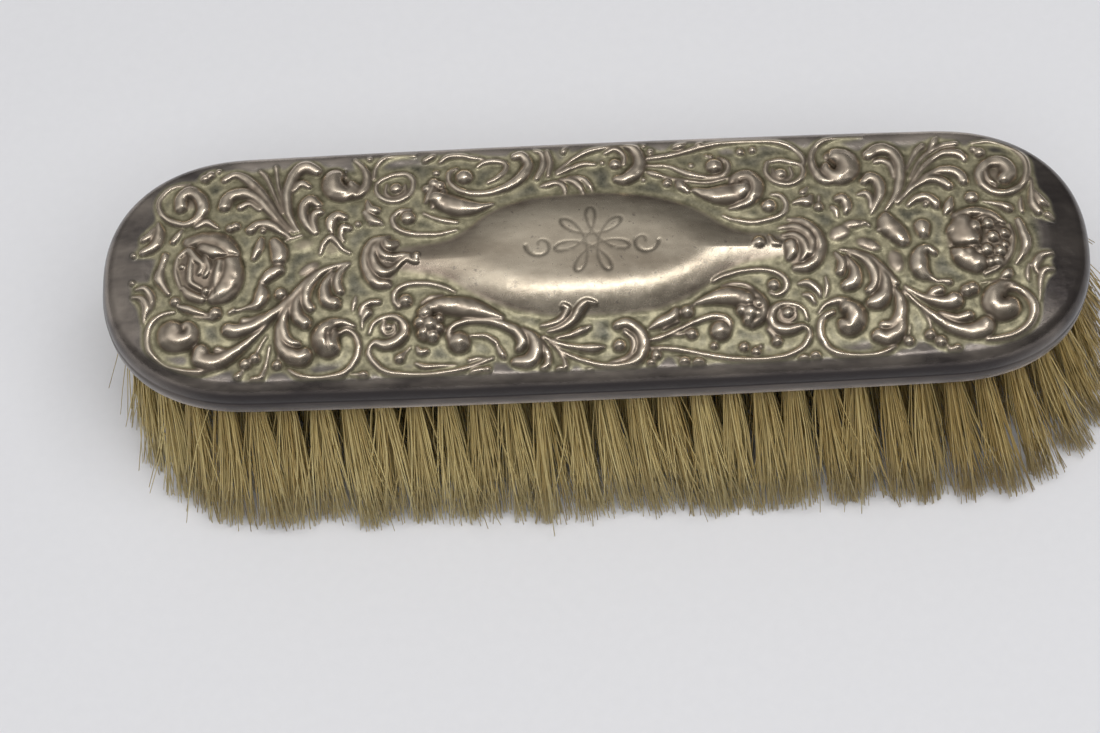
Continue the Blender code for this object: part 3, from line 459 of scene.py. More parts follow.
    (52.0, 7.4, 0.4, 54.6, 10.0, 0.5, 57.4, 11.6, 0.7, 59.6, 11.6, 0.85, 61.1, 10.3, 0.8),
    (53.2, 8.4, 0.35, 56.2, 11.4, 0.5, 59.2, 13.2, 0.7, 61.6, 13.5, 0.95, 63.3, 12.5, 0.95,
     63.8, 11.2, 0.8),
    (54.0, 10.0, 0.35, 57.0, 14.2, 0.5, 60.2, 16.8, 0.6, 62.6, 17.2, 0.85, 64.2, 16.4, 0.75,
     64.4, 15.5, 0.45),
    (54.6, 12.2, 0.3, 57.0, 16.2, 0.4, 60.4, 18.5, 0.5, 63.2, 18.9, 0.55),
    (54.2, 14.0, 0.3, 56.2, 17.6, 0.5, 57.5, 18.8, 0.6), (58.2, 17.4, 0.35, 59.4, 19.2, 0.55,
     60.0, 20.2, 0.4),
    (53.8, 6.8, 0.4, 55.2, 8.0, 0.7, 57.2, 8.2, 0.85, 58.4, 7.2, 0.85, 58.6, 6.4, 0.6),
    (56.8, 6.8, 0.5), (61.2, 7.7, 0.5, 60.7, 6.2, 0.85, 60.0, 4.9, 0.4), (64.8, 7.9, 1.1),
    (66.6, 7.1, 0.25, 69.0, 6.4, 0.5, 70.9, 5.6, 0.9), (66.2, 17.6, 0.6), (67.2, 16.9, 0.9),
    # upper end scroll, sprig
    (66.0, 18.9, 0.3, 69.5, 19.2, 0.4, 72.8, 18.0, 0.5, 74.8, 15.6, 0.6, 75.0, 12.8, 0.6,
     73.8, 10.2, 0.65, 71.6, 8.8, 0.7, 69.2, 8.8, 0.75, 67.2, 10.2, 0.75, 66.6, 12.4, 0.8,
     67.6, 14.2, 0.85, 69.4, 15.0, 1.0, 71.2, 14.4, 1.2, 71.8, 12.6, 1.25, 71.0, 11.4, 1.1),
    (67.8, 13.0, 0.35, 68.0, 11.4, 0.45, 69.3, 10.1, 0.4),
    (75.6, 11.4, 0.3, 75.3, 9.0, 0.5, 75.2, 6.6, 0.75, 76.0, 4.8, 0.7),
    (75.9, 8.6, 0.4, 76.7, 6.9, 0.8, 77.7, 6.0, 0.45), (77.5, 4.1, 0.6, 78.4, 3.3, 0.35),
    (73.4, 7.8, 0.25, 73.1, 6.2, 0.5, 73.2, 4.9, 0.4),
    # leaf right of the rose, sprig, small leaf
    (72.4, 3.1, 0.65, 72.9, 1.2, 0.8, 73.3, -0.8, 0.85, 72.6, -3.0, 0.6, 71.1, -5.0, 0.35),
    (77.4, -3.2, 0.4, 75.6, -3.6, 0.65, 74.4, -5.2, 0.7, 74.5, -6.6, 0.4),
    (77.2, -6.2, 0.45, 75.7, -6.4, 0.6, 74.9, -8.0, 0.5, 74.6, -10.2, 0.3, 74.4, -12.0, 0.2),
    (73.3, -5.2, 0.35, 72.8, -7.0, 0.45, 72.9, -8.2, 0.25),
    (70.0, -6.2, 0.4, 69.4, -7.0, 0.85, 68.3, -7.6, 0.35), (64.6, -8.5, 0.2, 68.0, -8.0, 0.3),
    # lower end scroll
    (68.0, -10.5, 0.5, 69.0, -9.5, 0.6, 71.0, -9.7, 0.7, 72.7, -11.2, 0.75, 73.3, -13.4, 0.75,
     72.4, -15.8, 0.65, 70.2, -17.6, 0.6, 67.4, -18.4, 0.55, 64.8, -18.6, 0.4),
    (70.6, -8.9, 0.4, 68.6, -8.9, 0.85, 66.8, -10.2, 1.25, 66.3, -12.0, 1.6, 67.4, -13.4, 1.75,
     69.1, -13.3, 1.5, 69.8, -12.5, 1.1, 69.1, -11.8, 0.6),
]

# Fluted shells at the necks of the cartouche, over their own low bosses.
SHELL_STROKES = [
    (-35.2, 4.8, 0.5, -38.3, 3.9, 0.7, -39.5, 1.2, 0.75, -39.0, -1.9, 0.8, -37.4, -4.0, 0.85,
     -35.5, -4.3, 0.7),
    (-36.2, 4.7, 0.45, -38.0, 2.4, 0.7, -37.9, -0.4, 0.8, -36.4, -2.0, 0.8, -34.8, -1.7, 0.5,
     -33.4, -0.3, 0.4, -32.2, 0.5, 0.35, -31.4, 0.0, 0.35, -30.6, -0.2, 0.35),
    (-36.5, 4.8, 0.4, -37.0, 2.7, 0.55, -36.2, 1.3, 0.65, -34.8, 0.9, 0.6, -33.0, 1.2, 0.45,
     -31.8, 1.0, 0.35),
    (-36.0, 4.4, 0.5, -35.2, 3.2, 0.95, -34.3, 3.5, 0.8), (-30.6, 1.0, 0.5),
    (33.0, 5.0, 0.4, 35.4, 4.6, 0.7, 37.6, 2.6, 0.85, 38.4, 0.0, 0.85, 37.6, -2.7, 0.85,
     35.8, -4.3, 0.85, 33.6, -4.4, 0.6),
    (31.4, 3.4, 0.4, 33.6, 3.6, 0.65, 35.8, 2.4, 0.75, 36.9, 0.2, 0.75, 36.4, -1.8, 0.6),
    (32.0, 2.0, 0.4, 34.0, 1.7, 0.6, 35.4, 0.2, 0.7, 35.6, -1.6, 0.6, 34.9, -2.9, 0.4),
    (33.1, 0.0, 0.95, 33.1, -1.5, 0.8, 32.4, -2.6, 0.4),
    (29.7, 1.7, 0.45, 30.2, 0.6, 0.5, 31.2, 0.3, 0.4), (27.8, 0.9, 0.9), (26.8, 0.5, 0.35),
]

# Petals and folds of the roses, laid over the rose domes.
ROSE_STROKES = [
    (-61.9, 1.4, 1.3, -61.9, -1.6, 1.7, -63.2, -4.2, 1.7, -65.2, -5.6, 0.9),
    (-64.0, 1.2, 0.7, -64.5, -1.4, 0.9, -65.0, -4.0, 0.6),
    (-69.6, 5.6, 0.9, -66.6, 6.0, 1.2, -63.6, 4.9, 1.6, -61.6, 3.0, 1.0),
    (-67.0, 4.2, 0.9, -64.8, 3.2, 1.2, -62.8, 2.6, 0.7),
    (-71.1, 3.1, 0.45, -69.6, 4.0, 0.55, -68.3, 2.3, 0.6, -67.0, 0.8, 0.5, -67.5, -0.8, 0.4),
    (-68.9, 2.3, 0.4, -69.2, -0.4, 0.5, -69.0, -2.3, 0.45, -67.5, -3.5, 0.45),
    (-66.5, 2.2, 0.45, -65.9, 0.2, 0.5, -66.5, -1.3, 0.4),
    (-70.4, -3.2, 0.4, -69.2, -4.7, 0.8, -67.2, -5.6, 0.7), (-66.4, -4.2, 0.65),
    (-71.4, 3.0, 0.35, -71.8, 0.0, 0.4, -70.8, -3.4, 0.35), (-70.6, 0.8, 0.45),
    (62.6, 2.9, 1.5, 62.6, 0.8, 2.1, 63.6, -0.6, 1.5), (60.8, 1.6, 1.0), (64.4, 2.0, 1.2),
    (61.0, -2.6, 0.8, 62.4, -3.8, 1.6, 64.2, -4.8, 1.6), (63.0, -3.2, 1.2), (65.0, -2.9, 0.7),
    (61.6, 4.3, 0.8, 64.6, 5.1, 0.9, 67.4, 4.6, 0.75, 69.7, 2.9, 0.5),
    (67.0, 2.5, 0.95), (67.6, -0.1, 0.9), (66.3, -2.5, 0.9), (68.6, -2.8, 0.85),
    (69.8, 0.7, 0.8), (69.5, -1.6, 0.6), (68.1, -4.6, 0.8), (66.7, -4.9, 0.7),
    (65.5, 3.3, 0.4, 66.8, 3.9, 0.45, 68.4, 2.8, 0.4),
    (70.8, 2.4, 0.35, 71.2, 0.0, 0.4, 70.4, -3.0, 0.4, 68.4, -5.6, 0.4, 65.6, -6.9, 0.4),
]

# Low domes: x, y, half length, half width, turn in degrees, height.
DOMES = [
    (-66.0, 0.3, 6.0, 6.3, 0, 0.75), (65.3, -0.5, 6.1, 6.5, 0, 0.75),
    (-36.9, 0.2, 3.4, 5.2, 0, 0.7), (35.2, 0.0, 3.6, 5.2, 0, 0.7),
    (-48.9, -0.6, 2.3, 1.2, 32, 0.55), (46.3, -0.4, 2.5, 1.35, -25, 0.6),
    (-49.9, 4.2, 2.6, 1.5, 10, 0.25), (-45.0, 3.2, 1.9, 1.7, 0, 0.25),
    (41.6, 2.0, 2.3, 1.6, 25, 0.55), (44.2, 3.6, 2.4, 1.0, 5, 0.5), (50.7, -3.8, 1.6, 2.6, 8, 0.5),
    (-28.9, -11.6, 2.6, 3.6, 10, 0.5), (-27.3, 13.4, 2.0, 2.6, -20, 0.4),
    (25.8, -11.6, 2.6, 3.2, 10, 0.5), (26.4, 11.8, 2.4, 2.6, 0, 0.4),
    (-43.5, 15.8, 2.6, 2.5, 0, 0.4), (-46.0, -13.4, 2.2, 2.8, 0, 0.4), (-70.8, -11.6, 2.6, 2.3, 0, 0.4),
    (-69.4, 13.6, 2.2, 2.0, 0, 0.35), (42.6, 15.3, 2.8, 2.7, 0, 0.4), (42.2, -13.6, 2.2, 2.7, 0, 0.4),
    (68.2, -12.1, 2.7, 2.5, 0, 0.4), (69.6, 12.5, 2.8, 2.5, 0, 0.35),
]

# Creases chased into raised work: x, y, half width, repeated.
CREASES = [
    (-42.6, 18.9, 0.3, -42.9, 17.2, 0.35, -42.6, 15.9, 0.25),
    (-45.9, -12.3, 0.2, -46.0, -14.0, 0.25, -45.7, -15.6, 0.2),
    (41.1, 18.6, 0.2, 40.9, 16.4, 0.35, 41.9, 15.2, 0.3),
    (41.6, -12.2, 0.2, 41.4, -13.8, 0.25, 41.9, -15.2, 0.2),
    (-65.3, 2.0, 0.2, -63.2, 2.1, 0.25, -61.2, 2.2, 0.2),
    (60.2, -1.7, 0.25, 62.4, -1.8, 0.3, 64.8, -1.5, 0.25),
    (65.7, 3.0, 0.25, 66.1, 0.6, 0.25, 65.2, -1.2, 0.25),
    (-64.6, 1.0, 0.2, -65.3, -2.0, 0.2, -64.9, -4.6, 0.2),
]

# Half outline of the plain cartouche, from neck to neck: x, upper y, lower y.
CARTOUCHE = [
    (-38.0, 2.6, -1.6), (-33.0, 3.6, -2.6), (-28.0, 4.0, -3.4), (-25.0, 4.6, -4.6),
    (-22.0, 6.4, -6.6), (-19.0, 8.8, -8.4), (-15.0, 10.7, -10.0), (-10.0, 11.9, -11.2),
    (-5.0, 12.2, -11.6), (0.0, 12.3, -11.7), (5.0, 12.0, -11.6), (10.0, 11.2, -11.1),
    (15.0, 9.6, -9.4), (19.0, 7.4, -7.0), (22.0, 5.2, -4.9), (25.0, 3.8, -3.6),
    (29.0, 3.2, -3.0), (33.0, 2.8, -2.6), (37.0, 2.0, -1.8),
]


# ---------------------------------------------------------------- small helpers


def linear(red, green, blue):
    """A linear colour from display values of 0 to 255."""
    shares = [v / 255 for v in (red, green, blue)]
    return tuple(v / 12.92 if v <= 0.04045 else ((v + 0.055) / 1.055) ** 2.4 for v in shares) + (1.0,)


def smoothstep(values):
    part = np.clip(values, 0.0, 1.0)
    return part * part * (3 - 2 * part)


def blurred(field, sigma):
    """The height field smoothed by a round Gaussian of sigma millimetres."""
    reach = max(1, round(3 * sigma / CELL))
    weights = np.exp(-0.5 * (np.arange(-reach, reach + 1) * CELL / sigma) ** 2)
    weights /= weights.sum()
    for axis in (0, 1):
        padded = np.pad(field, [(reach, reach) if a == axis else (0, 0) for a in (0, 1)], "edge")
        size = field.shape[axis]
        field = sum(
            weight * np.take(padded, np.arange(i, i + size), axis)
            for i, weight in enumerate(weights)
        )
    return field


# ---------------------------------------------------------------- outline and profile of the back


def outline(inset, angles, sides):
    """The closed outline moved in by inset: angles round an end, then shares of the straight part."""
    straight = HALF_LENGTH - END_DEPTH
    end_x = straight + (END_DEPTH - inset) * np.cos(angles) ** (2 / END_POWER)
    x = np.concatenate([end_x, straight * (1 - sides)])
    rise = np.concatenate([np.sin(angles) ** (2 / END_POWER), np.ones(len(sides))])
    y = (HALF_WIDTH - inset) * (1 - SIDE_BOW * (x / HALF_LENGTH) ** 2) * rise
    quarter = np.stack([x, y], 1)
    half = np.concatenate([quarter, quarter[-2::-1] * (-1, 1)])
    return np.concatenate([half, half[-2:0:-1] * (1, -1)])


def even_steps(count):
    """End angles and straight shares that space count points evenly over a quarter."""
    fine = 1000
    angles = np.linspace(0.0, math.pi / 2, 2 * fine + 1)
    sides = np.linspace(0.0, 1.0, fine + 1)[1:]
    line = outline(RING_SPACING_INSET, angles, sides)[: len(angles) + len(sides)]
    lengths = np.concatenate([[0.0], np.cumsum(np.hypot(*np.diff(line, axis=0).T))])
    at = np.interp(np.linspace(0.0, lengths[-1], count), lengths, np.arange(len(line)))
    cut = len(angles) - 1
    at_end = at[at <= cut]
    at_side = at[at > cut]
    return np.interp(at_end, np.arange(len(angles)), angles), (at_side - cut) / len(sides)


def dome(inset):
    """Height of the plain outer surface over the rim, inside the shoulder."""
    part = np.minimum((inset - SHOULDER_INSET) / (CROWN_INSET - SHOULDER_INSET), 1.0)
    return SKIRT + SHOULDER_RISE + CROWN * (1 - (1 - part) ** 2)


def shoulder(angle, depth):
    """Inset and height of the rounded shoulder, depth under its outer surface."""
    inset = depth + SHOULDER_INSET * (1 - math.cos(angle))
    return inset, SKIRT + (SHOULDER_RISE - depth) * math.sin(angle)


# ---------------------------------------------------------------- embossing


GRID_XS = np.arange(-GRID_X, GRID_X + CELL / 2, CELL)
GRID_YS = np.arange(-GRID_Y, GRID_Y + CELL / 2, CELL)
GRID_SHAPE = (len(GRID_YS), len(GRID_XS))


def smooth_path(values, step=0.25):
    """Points along a smooth curve through the x, y, half width triples."""
    keys = np.array(values, float).reshape(-1, 3)
    keys[:, 1] += SHIFT
    keys[:, 2] *= SWELL
    if len(keys) == 1:
        return np.vstack([keys, keys])
    keys = np.vstack([2 * keys[0] - keys[1], keys, 2 * keys[-1] - keys[-2]])
    points = []
    for a, b, c, d in zip(keys, keys[1:], keys[2:], keys[3:]):
        count = max(2, math.ceil(math.dist(b[:2], c[:2]) / step))
        t = np.arange(count)[:, None] / count
        curve = 2 * b + (c - a) * t + (2 * a - 5 * b + 4 * c - d) * t**2 + (3 * (b - c) + d - a) * t**3
        points.append(curve / 2)
    points.append(keys[-2:-1])
    path = np.vstack(points)
    path[:, 2] = np.maximum(path[:, 2], LEAST_HALF_WIDTH)
    return path


def ridge_height(width):
    return np.minimum(RIDGE_SHARE * width**RIDGE_POWER, RIDGE_MOST)


def emboss(field, path, height, peak):
    """Raises a rounded ridge along the path, as wide as the path says and as high as height says."""
    for (x0, y0, w0), (x1, y1, w1) in zip(path, path[1:]):
        reach = max(w0, w1)
        i0 = max(int((min(x0, x1) - reach + GRID_X) / CELL), 0)
        i1 = int((max(x0, x1) + reach + GRID_X) / CELL) + 2
        j0 = max(int((min(y0, y1) - reach + GRID_Y) / CELL), 0)
        j1 = int((max(y0, y1) + reach + GRID_Y) / CELL) + 2
        px = GRID_XS[None, i0:i1] - x0
        py = GRID_YS[j0:j1, None] - y0
        dx, dy = x1 - x0, y1 - y0
        t = np.clip((px * dx + py * dy) / max(dx * dx + dy * dy, 1e-9), 0.0, 1.0)
        width = w0 + (w1 - w0) * t
        gap = ((px - t * dx) ** 2 + (py - t * dy) ** 2) / width**2
        raised = height(width) * np.clip(1 - gap, 0.0, 1.0) ** peak
        part = field[j0:j1, i0:i1]
        np.maximum(part, raised, out=part)


def embossed(paths, height=ridge_height, peak=RIDGE_PEAK):
    field = np.zeros(GRID_SHAPE)
    for path in paths:
        emboss(field, path, height, peak)
    return field


def strokes_field(strokes, *section):
    return embossed([smooth_path(stroke) for stroke in strokes], *section)


def domes_field():
    field = np.zeros(GRID_SHAPE)
    for x, y, along, across, turn, height in DOMES:
        c, s = math.cos(math.radians(turn)), math.sin(math.radians(turn))
        px, py = GRID_XS[None, :] - x, GRID_YS[:, None] - (y + SHIFT)
        gap = ((px * c + py * s) / along) ** 2 + ((py * c - px * s) / across) ** 2
        field = np.maximum(field, height * np.clip(1 - gap, 0.0, 1.0) ** DOME_PEAK)
    return field


def cartouche_depth():
    """How far each grid point lies inside the outline of the plain cartouche; 0 outside it."""
    rows = np.array(CARTOUCHE)
    # The half width that smooth_path takes isn't used here, so any column stands in for it.
    upper, lower = (smooth_path(rows[:, (0, column, 1)], 0.5)[:, :2] for column in (1, 2))
    px, py = GRID_XS[None, :], GRID_YS[:, None]
    inside = (py < np.interp(px, upper[:, 0], upper[:, 1])) & (py > np.interp(px, lower[:, 0], lower[:, 1]))
    inside &= (px > rows[0, 0]) & (px < rows[-1, 0])
    rows_in, columns_in = np.nonzero(inside)
    points = np.stack([GRID_XS[columns_in], GRID_YS[rows_in]], 1)
    nearest = np.full(len(points), np.inf)
    loop = np.vstack([upper, lower[::-1], upper[:1]])
    for a, b in zip(loop, loop[1:]):
        side = b - a
        t = np.clip((points - a) @ side / max(side @ side, 1e-9), 0.0, 1.0)
        nearest = np.minimum(nearest, np.hypot(*(points - a - t[:, None] * side).T))
    depth = np.zeros(inside.shape)
    depth[inside] = nearest
    return depth


def flourish_paths():
    """A rosette of seven woven petals between two curls, cut into the cartouche."""
    centre_x, centre_y = -0.6, 1.7
    t = np.linspace(0.0, 2 * math.pi, 481)
    petal = 0.2 + 0.12 * np.cos(3.5 * t) ** 2
    lines = [(3.8 * np.sin(2 * t) - 2.7 * np.sin(5 * t), 3.8 * np.cos(2 * t) + 2.7 * np.cos(5 * t), petal)]
    for side in (-1, 1):
        reach = 0.3 + 0.36 * t
        lines.append((side * (8.8 + reach * np.cos(t)), reach * np.sin(t) - 0.6, 0.2 + 0.03 * t))
    return [np.stack([centre_x + x, centre_y + y, width], 1) for x, y, width in lines]


def field_depth():
    """How far each grid point lies inside the sunk field; negative outside it."""
    px, py = np.abs(GRID_XS[None, :]), np.abs(GRID_YS[:, None])
    past = np.maximum(px - (FIELD_HALF_LENGTH - FIELD_END), 0.0) / FIELD_END
    across = py / (FIELD_HALF_WIDTH * (1 - SIDE_BOW * (px / HALF_LENGTH) ** 2))
    radius = (past**FIELD_POWER + across**FIELD_POWER) ** (1 / FIELD_POWER)
    slope = np.hypot(*np.gradient(radius, CELL))
    return (1 - radius) / np.maximum(slope, 0.01)


def sample(field, x, y):
    """The field at points in millimetres, interpolated between grid points."""
    column = np.clip((x + GRID_X) / CELL, 0, len(GRID_XS) - 1.001)
    row = np.clip((y + GRID_Y) / CELL, 0, len(GRID_YS) - 1.001)
    i, j = column.astype(int), row.astype(int)
    u, v = column - i, row - j
    low = field[j, i] * (1 - u) + field[j, i + 1] * u
    high = field[j + 1, i] * (1 - u) + field[j + 1, i + 1] * u
    return low * (1 - v) + high * v


def embossing():
    """Height of the chased surface over the plain back, and the masks its finish is painted by, painted
    shade and painted highlight among them.
    """
    rng = np.random.default_rng(SEED)
    ornament = strokes_field(LEFT_STROKES + MIDDLE_STROKES + RIGHT_STROKES)
    petals = strokes_field(SHELL_STROKES + ROSE_STROKES)
    creases = strokes_field(CREASES, lambda width: CREASE_SHARE * width, CUT_PEAK)
    cuts = embossed(flourish_paths(), lambda width: CUT_SHARE * width, CUT_PEAK)
    crown = np.maximum(1 - (GRID_XS[None, :] / CROWN_REACH) ** 2, 0.0)
    boss = (BOSS_HEIGHT + BOSS_CROWN * crown) * np.sin(
        math.pi / 2 * np.minimum(cartouche_depth() / BOSS_BEVEL, 1.0)
    )
    base = np.maximum(domes_field(), boss)
    depth = field_depth()
    inside = smoothstep(depth / FIELD_BEVEL)
    raised = np.maximum(ornament, PETAL_SHARE * petals) + base
    dents = blurred(rng.normal(size=GRID_SHAPE), DENT_SIZE)
    dents += FINE_DENT_SHARE * blurred(rng.normal(size=GRID_SHAPE), FINE_DENT_SIZE)
    wander = blurred(rng.normal(size=GRID_SHAPE), WANDER_SIZE)
    wander *= WANDER / wander.std()
    dents *= DENT_DEPTH / dents.std() * (1 - 0.85 * smoothstep(boss / 0.4))
    dents *= BORDER_DENTS + (1 - BORDER_DENTS) * inside
    height = blurred(raised - creases - cuts, 0.1) - FIELD_DEPTH * inside + dents
    chased = np.clip(blurred(raised, 0.1) / 0.4, 0.0, 1.0)
    plate = smoothstep(boss / 0.5)
    near = smoothstep((blurred(np.clip(ornament / 0.3, 0.0, 1.0), 0.9) - 0.12) / 0.22)
    masks = {
        "raised": chased,
        # crease: hollows of the relief, where painted shade is laid
        "crease": np.clip((0.5 * (blurred(height, 0.35) + blurred(height, 0.8)) - height) / 0.27, 0.0, 1.0),
        # crest: tops of the relief, rubbed bright and given a painted highlight
        "crest": np.clip((height - blurred(height, 0.75)) / 0.28, 0.0, 1.0),
        "halo": np.clip(2.4 * blurred(chased, 0.8), 0.0, 1.0),
        "field": np.maximum(smoothstep((depth + wander - 1.2) / 1.6), near),
        "boss": plate * (ornament + petals < 0.05),
        "heart": smoothstep((blurred(plate, 2.2) - 0.5) / 0.45),
        "cut": np.clip(cuts / 0.09, 0.0, 1.0),
    }
    return height, masks


# ---------------------------------------------------------------- meshes


def new_piece(name, points, faces, attributes, look):
    data = bpy.data.meshes.new(name)
    data.from_pydata((points * MM).tolist(), [], faces)
    for key, values in attributes.items():
        data.attributes.new(key, "FLOAT", "POINT").data.foreach_set("value", values.astype(np.float32))
    data.polygons.foreach_set("use_smooth", np.ones(len(data.polygons), bool))
    data.materials.append(look)
    piece = bpy.data.objects.new(name, data)
    bpy.context.scene.collection.objects.link(piece)
    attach(piece, "root")
    return piece


def ring_faces(rings, count):
    """Quads between neighbouring closed rings of count points each."""
    i = np.arange(count)
    j = (i + 1) % count
    low = np.arange(rings - 1)[:, None] * count
    quads = np.stack([low + i, low + j, low + count + j, low + count + i], 2)
    return quads.reshape(-1, 4).tolist()


def across_faces(first, count, flip):
    """Quads that close the ring starting at vertex first across the brush's centre line."""
    faces = []
    half = count // 2
    for i in range(half):
        a, b = i, i + 1
        c, d = (count - b) % count, (count - a) % count
        corners = [first + a, first + b, first + c, first + d]
        kept = list(dict.fromkeys(corners))
        faces.append(kept[::-1] if flip else kept)
    return faces


def shade_and_tarnish_of(points, field):
    """How dark the plain border is painted, as shade and tarnish: most on the front shoulder and round the
    right end.
    """
    x, y, z = points.T
    past = x - np.clip(x, END_DEPTH - HALF_LENGTH, HALF_LENGTH - END_DEPTH)
    reach = np.maximum(np.hypot(past, y), 0.001)
    to_right = past / reach
    # Painted shade: the shoulder is darker where it faces front or right than where it faces left or back.
    facing = np.maximum.reduce([-y / reach, to_right, -LEFT_SHOULDER_SHADE * to_right])
    height = z - DROP
    drop = (SHOULDER_TOP - height) / SHOULDER_RISE
    shoulder_share = smoothstep((drop - 0.08) / 0.42) * np.maximum(facing, BACK_SHOULDER_SHADE)
    # The top of each end, darker at the right end: painted shade and tarnish.
    end_share = smoothstep(np.abs(to_right)) * smoothstep(np.abs(past) / 6) * (1 - field)
    end_share *= np.where(past > 0, RIGHT_END_SHADE_AND_TARNISH, LEFT_END_SHADE_AND_TARNISH)
    # Painted shade and tarnish on the skirt; its rounded lower edge is left light.
    skirt = SKIRT_SHADE_AND_TARNISH * smoothstep((height - 0.4) / 0.5)
    return np.where(drop > 1.02, skirt, np.maximum(shoulder_share, end_share))


def silver_back(centre, look):
    """The pressed back, one closed sheet: rings out along its underside, then in over its chased top."""
    height, masks = embossing()
    angles, sides = even_steps(QUARTER_POINTS)
    profile = [(inset, dome(inset) - SHEET) for inset in (LAST_INSET, CROWN_INSET, MIDDLE_INSET)]
    profile += [shoulder(math.radians(a), SHEET) for a in (90, 60, 30, 0)]
    profile += [(SHEET, SHEET), (LIP, SHEET), (LIP, 0.0)]
    profile += [(EDGE_ROUND, 0.0), (EDGE_MIDDLE, EDGE_MIDDLE), (0.0, EDGE_ROUND)]
    chased_from = len(profile)
    profile += [(0.0, level) for level in SKIRT_LEVELS]
    profile += zip(FILLET_INSETS, (SKIRT - SHOULDER_START, SKIRT))
    for angle in map(math.radians, range(6, 91, 7)):
        profile.append(shoulder(angle, SHOULDER_START * math.cos(angle)))
    insets = np.linspace(SHOULDER_INSET, LAST_INSET, CHASED_RINGS)[1:]
    profile += [(inset, dome(inset)) for inset in insets]
    rings = []
    for inset, level in profile:
        ring = outline(inset, angles, sides)
        rings.append(np.column_stack([ring, np.full(len(ring), DROP + level)]))
    count = len(rings[0])
    points = np.vstack(rings)
    inset_of = np.repeat([inset for inset, _ in profile], count)
    chased = np.arange(len(points)) >= chased_from * count
    fade = smoothstep((inset_of - SHOULDER_INSET + 1.0) / 1.2) * chased
    points[:, 2] += sample(height, points[:, 0], points[:, 1]) * fade
    attributes = {key: sample(mask, points[:, 0], points[:, 1]) * fade for key, mask in masks.items()}
    attributes["shade_and_tarnish"] = shade_and_tarnish_of(points, attributes["field"])
    faces = ring_faces(len(profile), count)
    faces += across_faces(0, count, True)
    faces += across_faces(len(points) - count, count, False)
    points += (centre.x / MM, centre.y / MM, 0.0)
    return new_piece("silver_back_chased", points, faces, attributes, look)


# ---------------------------------------------------------------- bristles


def evenly(points, count):
    """count points at equal steps round a closed line."""
    loop = np.vstack([points, points[:1]])
    lengths = np.concatenate([[0.0], np.cumsum(np.hypot(*np.diff(loop, axis=0).T))])
    at = np.arange(count) * lengths[-1] / count
    return np.stack([np.interp(at, lengths, loop[:, axis]) for axis in (0, 1)], 1)


def ring_roots():
    angles = np.linspace(0.0, math.pi / 2, 37)
    sides = np.linspace(0.0, 1.0, 25)[1:]
    return evenly(outline(RING_INSET, angles, sides), RING_TUFTS)


def row_roots():
    """The straight rows inside the ring, front row first."""
    inset = RING_INSET + ROW_SPACING
    widest = HALF_WIDTH - inset
    rows = []
    for k in range(-ROWS_EACH_SIDE, ROWS_EACH_SIDE + 1):
        y = widest * k / ROWS_EACH_SIDE
        share = min(abs(y) * 0.985 / widest, 1.0)
        curve = (1 - share**END_POWER) ** (1 / END_POWER)
        reach = HALF_LENGTH - END_DEPTH + (END_DEPTH - inset) * curve - 0.4 * abs(k)
        tufts = 2 * round(reach / PITCH_ALONG) + 1 - k % 2
        x = np.linspace(-reach, reach, tufts)
        rows.append(np.stack([x, y * (1 - SIDE_BOW * (x / HALF_LENGTH) ** 2)], 1))
    return rows


def bristle_faces(count, rings):
    """Sides and both ends of count bristles, each of some rings of points, root first."""
    faces = []
    size = BRISTLE_SIDES * rings
    for first in range(0, count * size, size):
        faces.append(list(range(first, first + BRISTLE_SIDES)))
        for low in range(first, first + size - BRISTLE_SIDES, BRISTLE_SIDES):
            high = low + BRISTLE_SIDES
            for k in range(BRISTLE_SIDES):
                j = (k + 1) % BRISTLE_SIDES
                faces.append([low + k, high + k, high + j, low + j])
        faces.append(list(range(first + size - 1, first + size - 1 - BRISTLE_SIDES, -1)))
    return faces


